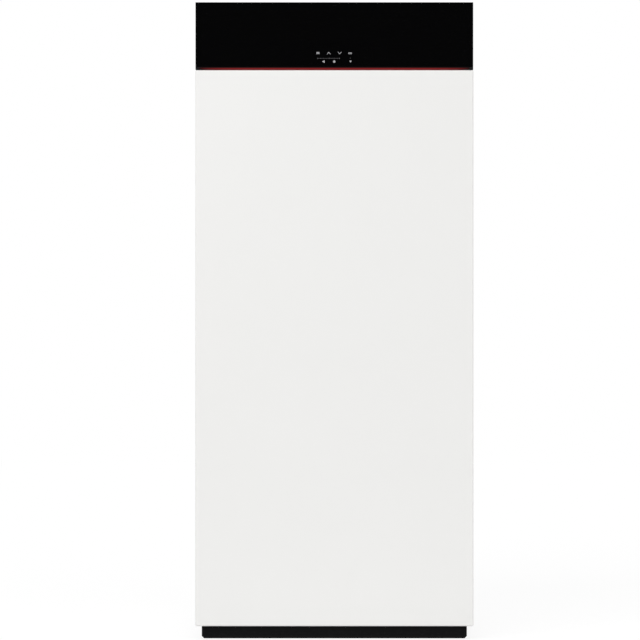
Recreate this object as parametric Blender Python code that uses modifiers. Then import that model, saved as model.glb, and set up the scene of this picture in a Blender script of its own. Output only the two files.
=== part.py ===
# A floor standing gas boiler with a built-in hot water cylinder, as an assembly of its pieces.
# Metres, +Z up. The front faces -Y, +X is to the right, and the floor is z = 0.

import math

import bmesh
import bpy
from mathutils import Matrix, Vector

# Driving dimensions of the whole boiler
WIDTH = 0.600
DEPTH = 0.595
FRONT_PANEL_HEIGHT = 1.1992
FASCIA_HEIGHT = 0.1450
PLINTH_HEIGHT = 0.026
PLINTH_SIDE_SETBACK = 0.0145
PLINTH_WIDTH = WIDTH - 2 * PLINTH_SIDE_SETBACK
FLOOR_GAP = 0.003          # free height under the plinth
FASCIA_JOINT = 0.0012      # gap between the front panel and the fascia
SHEET = 0.0012             # painted steel of the casing
FIT = 0.0003               # gap that touching pieces keep
OVERRUN = 0.004            # how far a cutter runs past the face it opens
WELD = FIT / 30            # points nearer than this are one

# Planes that the pieces share
FRONT = -DEPTH / 2
REAR = DEPTH / 2
PLINTH_TOP = FLOOR_GAP + PLINTH_HEIGHT
PANEL_BOTTOM = PLINTH_TOP + FIT
PANEL_TOP = PANEL_BOTTOM + FRONT_PANEL_HEIGHT
FASCIA_BOTTOM = PANEL_TOP + FASCIA_JOINT
TOP = FASCIA_BOTTOM + FASCIA_HEIGHT

# How a shape made along its own Z is turned to point along another axis
QUARTER = math.pi / 2
AXIS_TURN = {"Z": (0, 0, 0), "Y": (-QUARTER, 0, 0), "X": (0, QUARTER, 0)}
SMOOTH_ANGLE = math.radians(40)
TURNED_STEPS = 32          # sides of a turned piece, where nothing else is given

for leftover in list(bpy.data.objects):
    bpy.data.objects.remove(leftover, do_unlink=True)

BOILER = bpy.data.collections.new("floor_standing_gas_boiler")
TOOLS = bpy.data.collections.new("cutters")
for group in (BOILER, TOOLS):
    bpy.context.scene.collection.children.link(group)


def finish(name, colour, roughness, metallic=0.0):
    """A material with one colour, roughness and metallic value."""
    made = bpy.data.materials.new(name)
    made.use_nodes = True
    shader = made.node_tree.nodes["Principled BSDF"]
    shader.inputs["Base Color"].default_value = (*colour, 1.0)
    shader.inputs["Roughness"].default_value = roughness
    shader.inputs["Metallic"].default_value = metallic
    made.diffuse_color = (*colour, 1.0)
    return made


WHITE_PAINT = finish("white_paint", (0.88, 0.88, 0.87), 0.45)
BLACK_PAINT = finish("black_paint", (0.010, 0.010, 0.011), 0.5)
GALVANISED = finish("galvanised_steel", (0.55, 0.56, 0.57), 0.45, 1.0)
STAINLESS = finish("stainless_steel", (0.62, 0.61, 0.59), 0.3, 1.0)
COPPER = finish("copper", (0.80, 0.42, 0.28), 0.3, 1.0)
BRASS = finish("brass", (0.75, 0.58, 0.28), 0.35, 1.0)
CAST_ALUMINIUM = finish("cast_aluminium", (0.60, 0.61, 0.62), 0.5, 1.0)
CAST_IRON = finish("pump_enamel", (0.16, 0.02, 0.02), 0.5)
BLACK_GLASS = finish("black_glass", (0.002, 0.002, 0.003), 0.05)
RED_GLOW = finish("red_light_guide", (0.24, 0.015, 0.02), 0.3)
BLACK_PLASTIC = finish("black_plastic", (0.012, 0.012, 0.013), 0.55)
GREY_PLASTIC = finish("grey_plastic", (0.20, 0.21, 0.22), 0.5)
RED_PLASTIC = finish("red_plastic", (0.55, 0.02, 0.02), 0.4)
BOARD_GREEN = finish("board_green", (0.01, 0.10, 0.04), 0.5)
GREY_FOAM = finish("grey_foam", (0.10, 0.10, 0.105), 0.9)
PALE_FOAM = finish("pale_foam", (0.80, 0.80, 0.78), 0.9)
VESSEL_RED = finish("vessel_enamel", (0.45, 0.03, 0.02), 0.4)
CERAMIC = finish("white_ceramic", (0.85, 0.84, 0.80), 0.3)


def add_object(name, data, coat, place=(0, 0, 0), turn=(0, 0, 0), parent=None):
    """An object at a place in the room, which may ride on a pivot."""
    piece = bpy.data.objects.new(name, data)
    BOILER.objects.link(piece)
    piece.location = Vector(place) - (parent.location if parent else Vector())
    piece.rotation_euler = turn
    piece.parent = parent
    if coat:
        data.materials.append(coat)
    return piece


def pivot(name, place):
    """An empty on a joint's axis, which carries the pieces that move with it."""
    return add_object(name, None, None, place)


def as_tool(piece):
    """Keep a shape that only cuts or joins others: a wire that is not rendered."""
    if piece.name not in TOOLS.objects:
        BOILER.objects.unlink(piece)
        TOOLS.objects.link(piece)
    piece.hide_render = True
    piece.display_type = "WIRE"
    return piece


def combine(piece, operation, *others):
    """Boolean the other shapes with the piece, in order."""
    for other in others:
        step = piece.modifiers.new(operation.lower(), "BOOLEAN")
        step.operation = operation
        step.object = as_tool(other)
    return piece


def cut(piece, *cutters):
    return combine(piece, "DIFFERENCE", *cutters)


def join(piece, *others):
    return combine(piece, "UNION", *others)


def box_shape(x, y, z):
    """A cube stretched to the given low and high places, about its own centre."""
    size = Vector([high - low for low, high in (x, y, z)])
    centre = Vector([(high + low) / 2 for low, high in (x, y, z)])
    shape = bmesh.new()
    bmesh.ops.create_cube(shape, size=1, matrix=Matrix.Diagonal((*size, 1)))
    return shape, centre


def mesh_of(name, shape):
    made = bpy.data.meshes.new(name)
    shape.to_mesh(made)
    shape.free()
    return made


def round_edges(piece, radius, segments=2):
    step = piece.modifiers.new("rounding", "BEVEL")
    step.width = radius
    step.segments = segments
    step.limit_method = "ANGLE"
    step.harden_normals = False
    return piece


def box(name, x, y, z, coat=None, rounding=0, segments=2, parent=None, turn=(0, 0, 0)):
    """A block between low and high places on each axis, which may have rounded edges."""
    shape, centre = box_shape(x, y, z)
    piece = add_object(name, mesh_of(name, shape), coat, centre, turn, parent)
    if rounding:
        round_edges(piece, rounding, segments)
    return piece


def sheet_pan(name, x, y, z, open_side, coat, sheet=SHEET, bend=0.0, segments=2):
    """A folded sheet tray: a block's skin without its open side, thickened inwards."""
    shape, centre = box_shape(x, y, z)
    opening = max(shape.faces, key=lambda face: face.normal.dot(Vector(open_side)))
    bmesh.ops.delete(shape, geom=[opening], context="FACES_ONLY")
    piece = add_object(name, mesh_of(name, shape), coat, centre)
    if bend:
        round_edges(piece, bend, segments)
    wall = piece.modifiers.new("sheet", "SOLIDIFY")
    wall.thickness = sheet
    wall.offset = -1
    wall.use_even_offset = True
    return piece


def cylinder(name, radius, span, place, coat=None, axis="Z", sides=24, parent=None):
    """A bar of round section along an axis, from span[0] to span[1] beyond its place."""
    length = span[1] - span[0]
    shape = bmesh.new()
    shift = Matrix.Translation((0, 0, (span[0] + span[1]) / 2))
    bmesh.ops.create_cone(shape, cap_ends=True, segments=sides, radius1=radius, radius2=radius,
                          depth=length, matrix=shift)
    piece = add_object(name, mesh_of(name, shape), coat, place, AXIS_TURN[axis], parent)
    shade_round(piece)
    return piece


def shade_round(piece):
    piece.data.shade_smooth()
    piece.data.set_sharp_from_angle(angle=SMOOTH_ANGLE)


def turned(name, profile, place, coat=None, axis="Z", steps=TURNED_STEPS, ring=False,
           parent=None):
    """A profile of (radius, height) points turned about its own Z, outer side downwards.
    A ring's profile closes on itself, and any other starts and ends on the axis."""
    made = bpy.data.meshes.new(name)
    points = [(radius, 0, height) for radius, height in profile]
    edges = [(index, index + 1) for index in range(len(points) - 1)]
    if ring:
        edges.append((len(points) - 1, 0))
    made.from_pydata(points, edges, [])
    piece = add_object(name, made, coat, place, AXIS_TURN[axis], parent)
    spin = piece.modifiers.new("turning", "SCREW")
    spin.axis = "Z"
    spin.angle = 2 * math.pi
    spin.steps = steps
    spin.render_steps = steps
    spin.use_merge_vertices = True
    spin.merge_threshold = WELD
    spin.use_smooth_shade = False
    return piece


def plate(name, outline, thickness, place, coat=None, turn=(0, 0, 0), parent=None):
    """A flat outline in its own XY plane, thickened evenly to both sides."""
    curve = bpy.data.curves.new(name, "CURVE")
    curve.dimensions = "2D"
    curve.fill_mode = "BOTH"
    curve.extrude = thickness / 2
    curve.render_resolution_u = 0
    spline = curve.splines.new("POLY")
    spline.points.add(len(outline) - 1)
    for point, (across, up) in zip(spline.points, outline):
        point.co = (across, up, 0, 1)
    spline.use_cyclic_u = True
    return add_object(name, curve, coat, place, turn, parent)


def tube(name, route, radius, coat=None, roundness=2, parent=None):
    """A round bar that follows the route's points."""
    curve = bpy.data.curves.new(name, "CURVE")
    curve.dimensions = "3D"
    curve.bevel_depth = radius
    curve.bevel_resolution = roundness
    curve.use_fill_caps = True
    curve.render_resolution_u = 0
    spline = curve.splines.new("POLY")
    spline.points.add(len(route) - 1)
    for point, place in zip(spline.points, route):
        point.co = (*place, 1)
    return add_object(name, curve, coat, parent=parent)


def as_mesh(piece):
    """The curve's surface as a mesh with its caps welded on, in the curve's place."""
    bpy.context.view_layer.update()
    graph = bpy.context.evaluated_depsgraph_get()
    name = piece.name
    made = bpy.data.meshes.new_from_object(piece.evaluated_get(graph))
    shape = bmesh.new()
    shape.from_mesh(made)
    bmesh.ops.remove_doubles(shape, verts=shape.verts, dist=WELD)
    bmesh.ops.recalc_face_normals(shape, faces=shape.faces)
    shape.to_mesh(made)
    shape.free()
    stand_in = bpy.data.objects.new(name, made)
    BOILER.objects.link(stand_in)
    stand_in.matrix_world = piece.matrix_world
    bpy.data.objects.remove(piece, do_unlink=True)
    stand_in.name = name
    return stand_in


def bent(corners, bend_radius, steps=4):
    """Straight runs between the corners, with an arc at each inner corner."""
    corners = [Vector(corner) for corner in corners]
    route = [corners[0]]
    for before, corner, after in zip(corners, corners[1:], corners[2:]):
        back = (before - corner).normalized()
        ahead = (after - corner).normalized()
        half = back.angle(ahead) / 2
        centre = corner + (back + ahead).normalized() * bend_radius / math.sin(half)
        first = corner + back * bend_radius / math.tan(half) - centre
        last = corner + ahead * bend_radius / math.tan(half) - centre
        route += [centre + first.slerp(last, step / steps).normalized() * bend_radius
                  for step in range(steps + 1)]
    return route + [corners[-1]]


def toothed_outline(root_radius, tip_radius, teeth, tooth_share):
    """The outline of a wheel of straight blades: each is tooth_share of its pitch wide."""
    points = []
    pitch = 2 * math.pi / teeth
    for tooth in range(teeth):
        start = tooth * pitch
        stop = start + pitch * tooth_share
        for radius, angle in ((root_radius, start), (tip_radius, start),
                              (tip_radius, stop), (root_radius, stop)):
            points.append((radius * math.cos(angle), radius * math.sin(angle)))
    return points


# Base frame: an inverted steel tray with a weld nut at each corner for a levelling foot
BASE_SHEET = 0.002
BASE_BEND = 0.003
BASE_DEEP = 0.020
BASE_REAR_INSET = 0.012
PLINTH_SETBACK = 0.012
PLINTH_SHEET = 0.002
PLINTH_CHAMFER = 0.0035
STUD_RADIUS = 0.005
STUD_CLEARANCE = 0.0005
NUT_RADIUS = 0.0105
NUT_HEIGHT = 0.010
NUT_WELD = BASE_SHEET / 2            # how deep the nut's foot sits in the tray
FOOT_INSET = 0.036                   # from the tray's edges to a stud's centre

half_plinth = PLINTH_WIDTH / 2
plinth_front_y = FRONT + PLINTH_SETBACK
base_front = plinth_front_y + PLINTH_SHEET + FIT
base_rear = REAR - BASE_REAR_INSET
base_bottom = PLINTH_TOP - BASE_DEEP

base_frame = sheet_pan("base_frame", (-half_plinth, half_plinth), (base_front, base_rear),
                       (base_bottom, PLINTH_TOP), (0, 0, -1), BLACK_PAINT, BASE_SHEET, BASE_BEND)
foot_places = {}
for side, side_sign in (("left", -1), ("right", 1)):
    for end, foot_y in (("front", base_front + FOOT_INSET), ("rear", base_rear - FOOT_INSET)):
        foot_places[f"{end}_{side}"] = (side_sign * (half_plinth - FOOT_INSET), foot_y, 0)
nuts = [cylinder(f"nut_{corner}", NUT_RADIUS, (PLINTH_TOP - NUT_WELD, PLINTH_TOP + NUT_HEIGHT),
                 place, axis="Z", sides=6) for corner, place in foot_places.items()]
stud_holes = [cylinder(f"stud_hole_{corner}", STUD_RADIUS + STUD_CLEARANCE,
                       (base_bottom, PLINTH_TOP + NUT_HEIGHT + OVERRUN), place, sides=16)
              for corner, place in foot_places.items()]
join(base_frame, *nuts)
cut(base_frame, *stud_holes)

# Plinth: a strip in front of the base frame with its lower corners cut off
plinth_outline = [(-half_plinth, PLINTH_HEIGHT / 2),
                  (-half_plinth, PLINTH_CHAMFER - PLINTH_HEIGHT / 2),
                  (PLINTH_CHAMFER - half_plinth, -PLINTH_HEIGHT / 2)]
plinth_outline += [(-across, up) for across, up in reversed(plinth_outline)]
plate("plinth_front", plinth_outline, PLINTH_SHEET,
      (0, plinth_front_y + PLINTH_SHEET / 2, FLOOR_GAP + PLINTH_HEIGHT / 2), BLACK_PLASTIC,
      (QUARTER, 0, 0))

# Levelling feet: a pad and a stud in one, screwed up through the weld nuts
PAD_RADIUS = 0.021
PAD_SHOULDER_RADIUS = 0.013
PAD_RIM = 0.004
PAD_HEIGHT = 0.008
STUD_ABOVE_NUT = 0.022               # what is left above the nut when the foot is right up

stud_top = PLINTH_TOP + NUT_HEIGHT + STUD_ABOVE_NUT
foot_profile = [(0, stud_top), (STUD_RADIUS, stud_top), (STUD_RADIUS, PAD_HEIGHT),
                (PAD_SHOULDER_RADIUS, PAD_HEIGHT), (PAD_RADIUS, PAD_RIM), (PAD_RADIUS, 0), (0, 0)]
for corner, place in foot_places.items():
    turned(f"levelling_foot_{corner}", foot_profile, place, GREY_PLASTIC, steps=20)

# Casing panels: folded trays of painted sheet, closed by the front panel and the fascia
FRONT_RETURN = 0.025                 # how deep the front panel is folded
SIDE_RETURN = 0.016
TOP_RETURN = 0.020
PANEL_SEAT = 0.001                   # gap behind the front panel, for its seal
PANEL_BEND = 0.0028

half_width = WIDTH / 2
casing_front = FRONT + FRONT_RETURN + PANEL_SEAT
side_top = TOP - TOP_RETURN - FIT
rear_half = half_width - SIDE_RETURN - FIT

sheet_pan("front_panel", (-half_width, half_width), (FRONT, FRONT + FRONT_RETURN),
          (PANEL_BOTTOM, PANEL_TOP), (0, 1, 0), WHITE_PAINT, SHEET, PANEL_BEND, 3)
for side, side_sign in (("left", -1), ("right", 1)):
    across = sorted((side_sign * half_width, side_sign * (half_width - SIDE_RETURN)))
    sheet_pan(f"{side}_side_panel", across, (casing_front, REAR), (PANEL_BOTTOM, side_top),
              (-side_sign, 0, 0), WHITE_PAINT, SHEET, PANEL_BEND)

# Front panel insulation: a foam mat glued into the front panel
MAT_THICKNESS = 0.018
MAT_MARGIN = 0.020

mat_front = FRONT + SHEET + FIT
box("front_panel_insulation", (MAT_MARGIN - half_width, half_width - MAT_MARGIN),
    (mat_front, mat_front + MAT_THICKNESS), (PANEL_BOTTOM + MAT_MARGIN, PANEL_TOP - MAT_MARGIN),
    GREY_FOAM)

# Flue and pipe places on the top, seen from above
STUB_FROM_REAR = 0.0525
STUB_Y = REAR - STUB_FROM_REAR
FLUE_BEFORE_STUBS = 0.100
FLUE_Y = STUB_Y - FLUE_BEFORE_STUBS
STUB_SPACING = 0.100
STUB_RISE = 0.020
WATER_RADIUS = 0.011
GAS_RADIUS = 0.009
STUB_PLAY = 0.002                    # between a pipe and its hole in the top panel
COLLAR_OUTER_RADIUS = 0.0510
stub_x = {"heating_flow": -2 * STUB_SPACING, "hot_water": -STUB_SPACING, "gas": 0,
          "cold_water": STUB_SPACING, "heating_return": 2 * STUB_SPACING}

top_panel = sheet_pan("top_panel", (-half_width, half_width), (casing_front, REAR),
                      (TOP - TOP_RETURN, TOP), (0, 0, -1), WHITE_PAINT, SHEET, PANEL_BEND)
top_span = (-TOP_RETURN, OVERRUN)
top_holes = [cylinder(f"{name}_hole", WATER_RADIUS + STUB_PLAY, top_span, (across, STUB_Y, TOP),
                      sides=20) for name, across in stub_x.items()]
top_holes.append(cylinder("flue_hole", COLLAR_OUTER_RADIUS + STUB_PLAY, top_span,
                          (0, FLUE_Y, TOP), sides=32))
cut(top_panel, *top_holes)

# Rear panel: between the side panels, with a hole for the condensate hose and the cable gland
HOSE_RADIUS = 0.011
HOSE_Z = 0.820
GLAND_THREAD_RADIUS = 0.010
GLAND_X = -0.200
GLAND_Z = 1.240

rear_panel = sheet_pan("rear_panel", (-rear_half, rear_half), (REAR - SIDE_RETURN, REAR),
                       (PANEL_BOTTOM, side_top), (0, -1, 0), WHITE_PAINT, SHEET, PANEL_BEND)
rear_span = (-SIDE_RETURN, OVERRUN)
cut(rear_panel,
    cylinder("hose_hole", HOSE_RADIUS + STUB_PLAY, rear_span, (0, REAR, HOSE_Z), axis="Y",
             sides=20),
    cylinder("gland_hole", GLAND_THREAD_RADIUS + FIT, rear_span, (GLAND_X, REAR, GLAND_Z),
             axis="Y", sides=20))

# Cable gland: a collar inside the rear panel and its threaded neck through it
GLAND_COLLAR_RADIUS = 0.0135
GLAND_COLLAR_LENGTH = 0.008
GLAND_BORE_RADIUS = 0.005

collar_seat = -SHEET - FIT
collar_end = collar_seat - GLAND_COLLAR_LENGTH
turned("cable_gland",
       [(GLAND_COLLAR_RADIUS, collar_seat), (GLAND_COLLAR_RADIUS, collar_end),
        (GLAND_BORE_RADIUS, collar_end), (GLAND_BORE_RADIUS, -FIT),
        (GLAND_THREAD_RADIUS, -FIT), (GLAND_THREAD_RADIUS, collar_seat)],
       (GLAND_X, REAR, GLAND_Z), BLACK_PLASTIC, "Y", 18, ring=True)

# Fascia: its pivot lies behind the glass, as far above the lower edge as behind the front
GLASS_THICKNESS = 0.003
STRIP_HEIGHT = 0.005
STRIP_DEPTH = 0.0055
STRIP_LENGTH = 0.556
STRIP_ROUNDING = 0.0044
FASCIA_SIDE_INSET = 0.0006
GLASS_EDGE = 0.0008
CARRIER_REAR_INSET = 0.002           # between the carrier's rear edge and the casing's front
CARRIER_WALL = 0.003
CARRIER_FOOT_HEIGHT = 0.011          # height of the solid lower corners that hold the pins
CARRIER_FOOT_WIDTH = 0.0235
POCKET_SKIN = 0.0005                 # carrier wall left between an ear and the glass
PIN_RADIUS = 0.0012
PIN_INNER = 0.0005                   # how far the pin starts outside the strip's end
PIN_LENGTH = 0.0105
EAR_THICKNESS = 0.002
EAR_RADIUS = 0.0024
EAR_OUTER = 0.0007                   # clearance between an ear and the side panel's return

pivot_inset = GLASS_THICKNESS + FIT + POCKET_SKIN + FIT + EAR_RADIUS
pivot_y = FRONT + pivot_inset
pivot_z = FASCIA_BOTTOM + pivot_inset
fascia_tilt = pivot("fascia_tilt", (0, pivot_y, pivot_z))
fascia_half = half_width - FASCIA_SIDE_INSET
strip_half = STRIP_LENGTH / 2
glass_bottom = FASCIA_BOTTOM + STRIP_HEIGHT
glass_rear = FRONT + GLASS_THICKNESS
carrier_front = glass_rear + FIT
carrier_rear = casing_front - CARRIER_REAR_INSET
ear_outside = half_width - SIDE_RETURN - EAR_OUTER
ear_inside = ear_outside - EAR_THICKNESS
pocket_radius = EAR_RADIUS + FIT


def mirrored(low, high):
    """The same span on the left and on the right of the middle."""
    return ((-high, -low), (low, high))


box("fascia_glass", (-fascia_half, fascia_half), (FRONT, glass_rear), (glass_bottom, TOP),
    BLACK_GLASS, GLASS_EDGE, 1, fascia_tilt)


def round_front_foot(piece, radius, segments=3):
    """Round the lower front edge of a block, the one that passes the front panel."""
    shape = bmesh.new()
    shape.from_mesh(piece.data)
    edge = min(shape.edges, key=lambda edge: sum(vert.co.y + vert.co.z for vert in edge.verts))
    bmesh.ops.bevel(shape, geom=[edge], offset=radius, segments=segments, profile=0.5,
                    affect="EDGES")
    shape.to_mesh(piece.data)
    shape.free()
    return piece


round_front_foot(box("light_strip", (-strip_half, strip_half), (FRONT, FRONT + STRIP_DEPTH),
                     (FASCIA_BOTTOM, glass_bottom - FIT), RED_GLOW, parent=fascia_tilt),
                 STRIP_ROUNDING)

# Display: a module in the carrier's window, behind the glass
DISPLAY_WIDTH = 0.094
DISPLAY_HEIGHT = 0.054
DISPLAY_DEPTH = 0.008
DISPLAY_BELOW_TOP = 0.040

display_top = TOP - DISPLAY_BELOW_TOP
display_bottom = display_top - DISPLAY_HEIGHT
box("display_module", (-DISPLAY_WIDTH / 2, DISPLAY_WIDTH / 2),
    (carrier_front, carrier_front + DISPLAY_DEPTH), (display_bottom, display_top),
    BLACK_PLASTIC, parent=fascia_tilt)

# Fascia carrier: a moulding behind the glass, hollow from the rear, with solid lower corners
carrier = round_front_foot(
    box("fascia_carrier", (-fascia_half, fascia_half), (FRONT, carrier_rear),
        (FASCIA_BOTTOM, TOP), BLACK_PLASTIC, parent=fascia_tilt), STRIP_ROUNDING)
inner_half = fascia_half - CARRIER_WALL
foot_half = fascia_half - CARRIER_FOOT_WIDTH
hollow_front = carrier_front + CARRIER_WALL
hollow_y = (hollow_front, carrier_rear + OVERRUN)
glass_recess = box("glass_recess", (-half_width, half_width), (FRONT - OVERRUN, carrier_front),
                   (glass_bottom - FIT, TOP + OVERRUN), parent=fascia_tilt)
strip_recess = box("strip_recess", (-strip_half - FIT, strip_half + FIT),
                   (FRONT - OVERRUN, FRONT + STRIP_DEPTH + FIT),
                   (FASCIA_BOTTOM - OVERRUN, glass_bottom), parent=fascia_tilt)
upper_hollow = box("upper_hollow", (-inner_half, inner_half), hollow_y,
                   (FASCIA_BOTTOM + CARRIER_FOOT_HEIGHT, TOP - CARRIER_WALL), parent=fascia_tilt)
lower_hollow = box("lower_hollow", (-foot_half, foot_half), hollow_y,
                   (FASCIA_BOTTOM + CARRIER_WALL, FASCIA_BOTTOM + CARRIER_FOOT_HEIGHT * 2),
                   parent=fascia_tilt)
window = box("display_window", (-DISPLAY_WIDTH / 2 - FIT, DISPLAY_WIDTH / 2 + FIT),
             (FRONT, carrier_rear), (display_bottom - FIT, display_top + FIT),
             parent=fascia_tilt)
ear_pockets = [box(f"ear_pocket_{index}", span, (pivot_y - pocket_radius, carrier_rear + OVERRUN),
                   (FASCIA_BOTTOM - OVERRUN, pivot_z + pocket_radius), parent=fascia_tilt)
               for index, span in enumerate(mirrored(ear_inside - FIT, ear_outside + FIT))]
pin_start = strip_half + PIN_INNER
pin_spans = mirrored(pin_start, pin_start + PIN_LENGTH)
pin_bores = [cylinder(f"pin_bore_{index}", PIN_RADIUS + FIT, (low - FIT * 2, high + FIT * 2),
                      (0, pivot_y, pivot_z), axis="X", sides=12, parent=fascia_tilt)
             for index, (low, high) in enumerate(pin_spans)]
cut(carrier, glass_recess, strip_recess, upper_hollow, lower_hollow, window, *ear_pockets,
    *pin_bores)
for side, span in zip(("left", "right"), pin_spans):
    cylinder(f"hinge_pin_{side}", PIN_RADIUS, span, (0, pivot_y, pivot_z), STAINLESS, "X", 12,
             fascia_tilt)

# Touch board: the printed circuit that feels the signs through the glass
BOARD_THICKNESS = 0.0016
TOUCH_HALF_WIDTH = 0.060
TOUCH_BELOW_TOP = 0.102
TOUCH_HEIGHT = 0.033

touch_top = TOP - TOUCH_BELOW_TOP
box("touch_board", (-TOUCH_HALF_WIDTH, TOUCH_HALF_WIDTH),
    (hollow_front + FIT, hollow_front + FIT + BOARD_THICKNESS),
    (touch_top - TOUCH_HEIGHT, touch_top), BOARD_GREEN, parent=fascia_tilt)

# Cross rail: a channel between the side panels, whose two ears carry the fascia's pins
RAIL_BELOW = 0.030                   # how far the rail reaches below the front panel's top
RAIL_DEPTH = 0.032
RAIL_ABOVE_PIVOT = 0.004

inside_half = half_width - SHEET - FIT
rail_half = half_width - PANEL_BEND
rail_front = casing_front + SHEET + FIT
rail_rear = rail_front + RAIL_DEPTH
rail_top = pivot_z + RAIL_ABOVE_PIVOT
rail = sheet_pan("cross_rail", (-rail_half, rail_half), (rail_front, rail_rear),
                 (PANEL_TOP - RAIL_BELOW, rail_top), (0, 1, 0), GALVANISED, BASE_SHEET)
for index, span in enumerate(mirrored(ear_inside, ear_outside)):
    arm = box(f"ear_arm_{index}", span, (pivot_y, rail_front + BASE_SHEET / 2),
              (pivot_z - EAR_RADIUS, pivot_z + EAR_RADIUS))
    head = cylinder(f"ear_head_{index}", EAR_RADIUS, span, (0, pivot_y, pivot_z), axis="X",
                    sides=16)
    bore = cylinder(f"ear_bore_{index}", PIN_RADIUS + FIT, (span[0] - OVERRUN, span[1] + OVERRUN),
                    (0, pivot_y, pivot_z), axis="X", sides=12)
    cut(join(rail, arm, head), bore)

# Control housing: an open moulded tray on the cross rail, with the mains rocker in its front
HOUSING_HALF_WIDTH = 0.200
HOUSING_DEPTH = 0.140
HOUSING_WALL = 0.0025
HOUSING_SET_BACK = 0.008             # behind the cross rail's front
HOUSING_BELOW_TOP = 0.012
ROCKER_WIDTH = 0.012
ROCKER_HALF_HEIGHT = 0.0088
ROCKER_TIP_REACH = 0.0045            # how far the rocker's two ends stand out from its pin
ROCKER_DIP = 0.0015                  # how far its middle stands out
ROCKER_BACK = 0.0040
ROCKER_BACK_HALF_HEIGHT = 0.0075
ROCKER_TILT = math.radians(8)
ROCKER_X = 0.150
ROCKER_ABOVE_RAIL = 0.050
ROCKER_PLAY = 0.0015

housing_front = rail_front + HOUSING_SET_BACK
housing_rear = housing_front + HOUSING_DEPTH
housing_bottom = rail_top + FIT
housing_top = TOP - HOUSING_BELOW_TOP
rocker_y = housing_front + HOUSING_WALL / 2
rocker_z = rail_top + ROCKER_ABOVE_RAIL
housing = sheet_pan("control_housing", (-HOUSING_HALF_WIDTH, HOUSING_HALF_WIDTH),
                    (housing_front, housing_rear), (housing_bottom, housing_top), (0, 0, 1),
                    GREY_PLASTIC, HOUSING_WALL)
rocker_half = ROCKER_WIDTH / 2
cut(housing, box("rocker_window",
                 (ROCKER_X - rocker_half - FIT, ROCKER_X + rocker_half + FIT),
                 (housing_front - OVERRUN, housing_front + HOUSING_WALL + OVERRUN),
                 (rocker_z - ROCKER_HALF_HEIGHT - ROCKER_PLAY,
                  rocker_z + ROCKER_HALF_HEIGHT + ROCKER_PLAY)))
rocker_side = [(-ROCKER_TIP_REACH, ROCKER_HALF_HEIGHT), (-ROCKER_DIP, 0),
               (-ROCKER_TIP_REACH, -ROCKER_HALF_HEIGHT), (ROCKER_BACK, -ROCKER_BACK_HALF_HEIGHT),
               (ROCKER_BACK, ROCKER_BACK_HALF_HEIGHT)]
rocker_pin = pivot("power_switch", (ROCKER_X, rocker_y, rocker_z))
rocker = plate("power_switch_rocker", rocker_side, ROCKER_WIDTH, (ROCKER_X, rocker_y, rocker_z),
               RED_PLASTIC, (QUARTER, 0, QUARTER), rocker_pin)
rocker_pin.rotation_euler = (-ROCKER_TILT, 0, 0)

# Main circuit board: on the housing's floor, with its transformer, capacitors and plugs
BOARD_MARGIN = 0.012
MAIN_BOARD_PARTS = {
    "transformer": ((-0.80, -0.50), (-0.60, 0.30), 0.034),
    "capacitor_bank": ((-0.40, -0.25), (-0.20, 0.50), 0.026),
    "relay_row": ((-0.10, 0.45), (0.35, 0.75), 0.018),
    "processor": ((0.00, 0.22), (-0.45, 0.00), 0.004),
    "plug_row": ((-0.85, 0.85), (-0.95, -0.75), 0.014),
}                                    # shares of the board's half sizes, and heights

board_half_x = HOUSING_HALF_WIDTH - HOUSING_WALL - BOARD_MARGIN
board_half_y = HOUSING_DEPTH / 2 - HOUSING_WALL - BOARD_MARGIN
board_y = (housing_front + housing_rear) / 2
board_bottom = housing_bottom + HOUSING_WALL + FIT
board_top = board_bottom + BOARD_THICKNESS
board = box("main_circuit_board", (-board_half_x, board_half_x),
            (board_y - board_half_y, board_y + board_half_y), (board_bottom, board_top),
            BOARD_GREEN)
join(board, *[box(name, [share * board_half_x for share in x_shares],
                  [board_y + share * board_half_y for share in y_shares],
                  (board_top - BOARD_THICKNESS / 2, board_top + height))
              for name, (x_shares, y_shares, height) in MAIN_BOARD_PARTS.items()])

# Hot water cylinder: a stainless tank with dished ends and a flanged neck
CYLINDER_Y = 0.015
JACKET_SIDE_GAP = 0.033              # from the jacket to each side panel's fold
JACKET_END_GAP = 0.02875             # and half of what stays free before and behind it
TANK_WALL = 0.002
TANK_DISH = 0.060                    # how far each end bulges
TANK_SHOULDER_STEPS = 3
NECK_RADIUS = 0.055
NECK_FLANGE_RADIUS = 0.072
NECK_FLANGE = 0.006
JACKET_WALL = 0.038
JACKET_HEIGHT = 0.662
JACKET_FLOOR = 0.036
JACKET_LID = 0.028


def dish(radius, height, axis_z, toward, stop_radius=0.0):
    """Points of a dished end from its rim to a stop radius; toward is +1 up or -1 down."""
    start = math.acos(stop_radius / radius)
    angles = [start * step / TANK_SHOULDER_STEPS for step in range(TANK_SHOULDER_STEPS + 1)]
    return [(radius * math.cos(angle), axis_z + toward * height * math.sin(angle))
            for angle in angles]


jacket_bottom = PLINTH_TOP + FIT
jacket_top = jacket_bottom + JACKET_HEIGHT
tank_bottom = jacket_bottom + JACKET_FLOOR + FIT
tank_top = jacket_top - JACKET_LID - FIT
neck_top = jacket_top + FIT + NECK_FLANGE
room_between = REAR - SIDE_RETURN - (mat_front + MAT_THICKNESS)
jacket_radius = min(half_width - SIDE_RETURN - JACKET_SIDE_GAP, room_between / 2 - JACKET_END_GAP)
tank_radius = jacket_radius - JACKET_WALL
jacket_bore = tank_radius + FIT / math.cos(math.pi / TURNED_STEPS)
turned("cylinder_jacket",
       [(0, jacket_bottom + JACKET_FLOOR), (jacket_bore, jacket_bottom + JACKET_FLOOR),
        (jacket_bore, jacket_top - JACKET_LID), (NECK_RADIUS + FIT * 2, jacket_top - JACKET_LID),
        (NECK_RADIUS + FIT * 2, jacket_top), (jacket_radius, jacket_top),
        (jacket_radius, jacket_bottom), (0, jacket_bottom)],
       (0, CYLINDER_Y, 0), PALE_FOAM)
tank_inside = tank_radius - TANK_WALL
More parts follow.
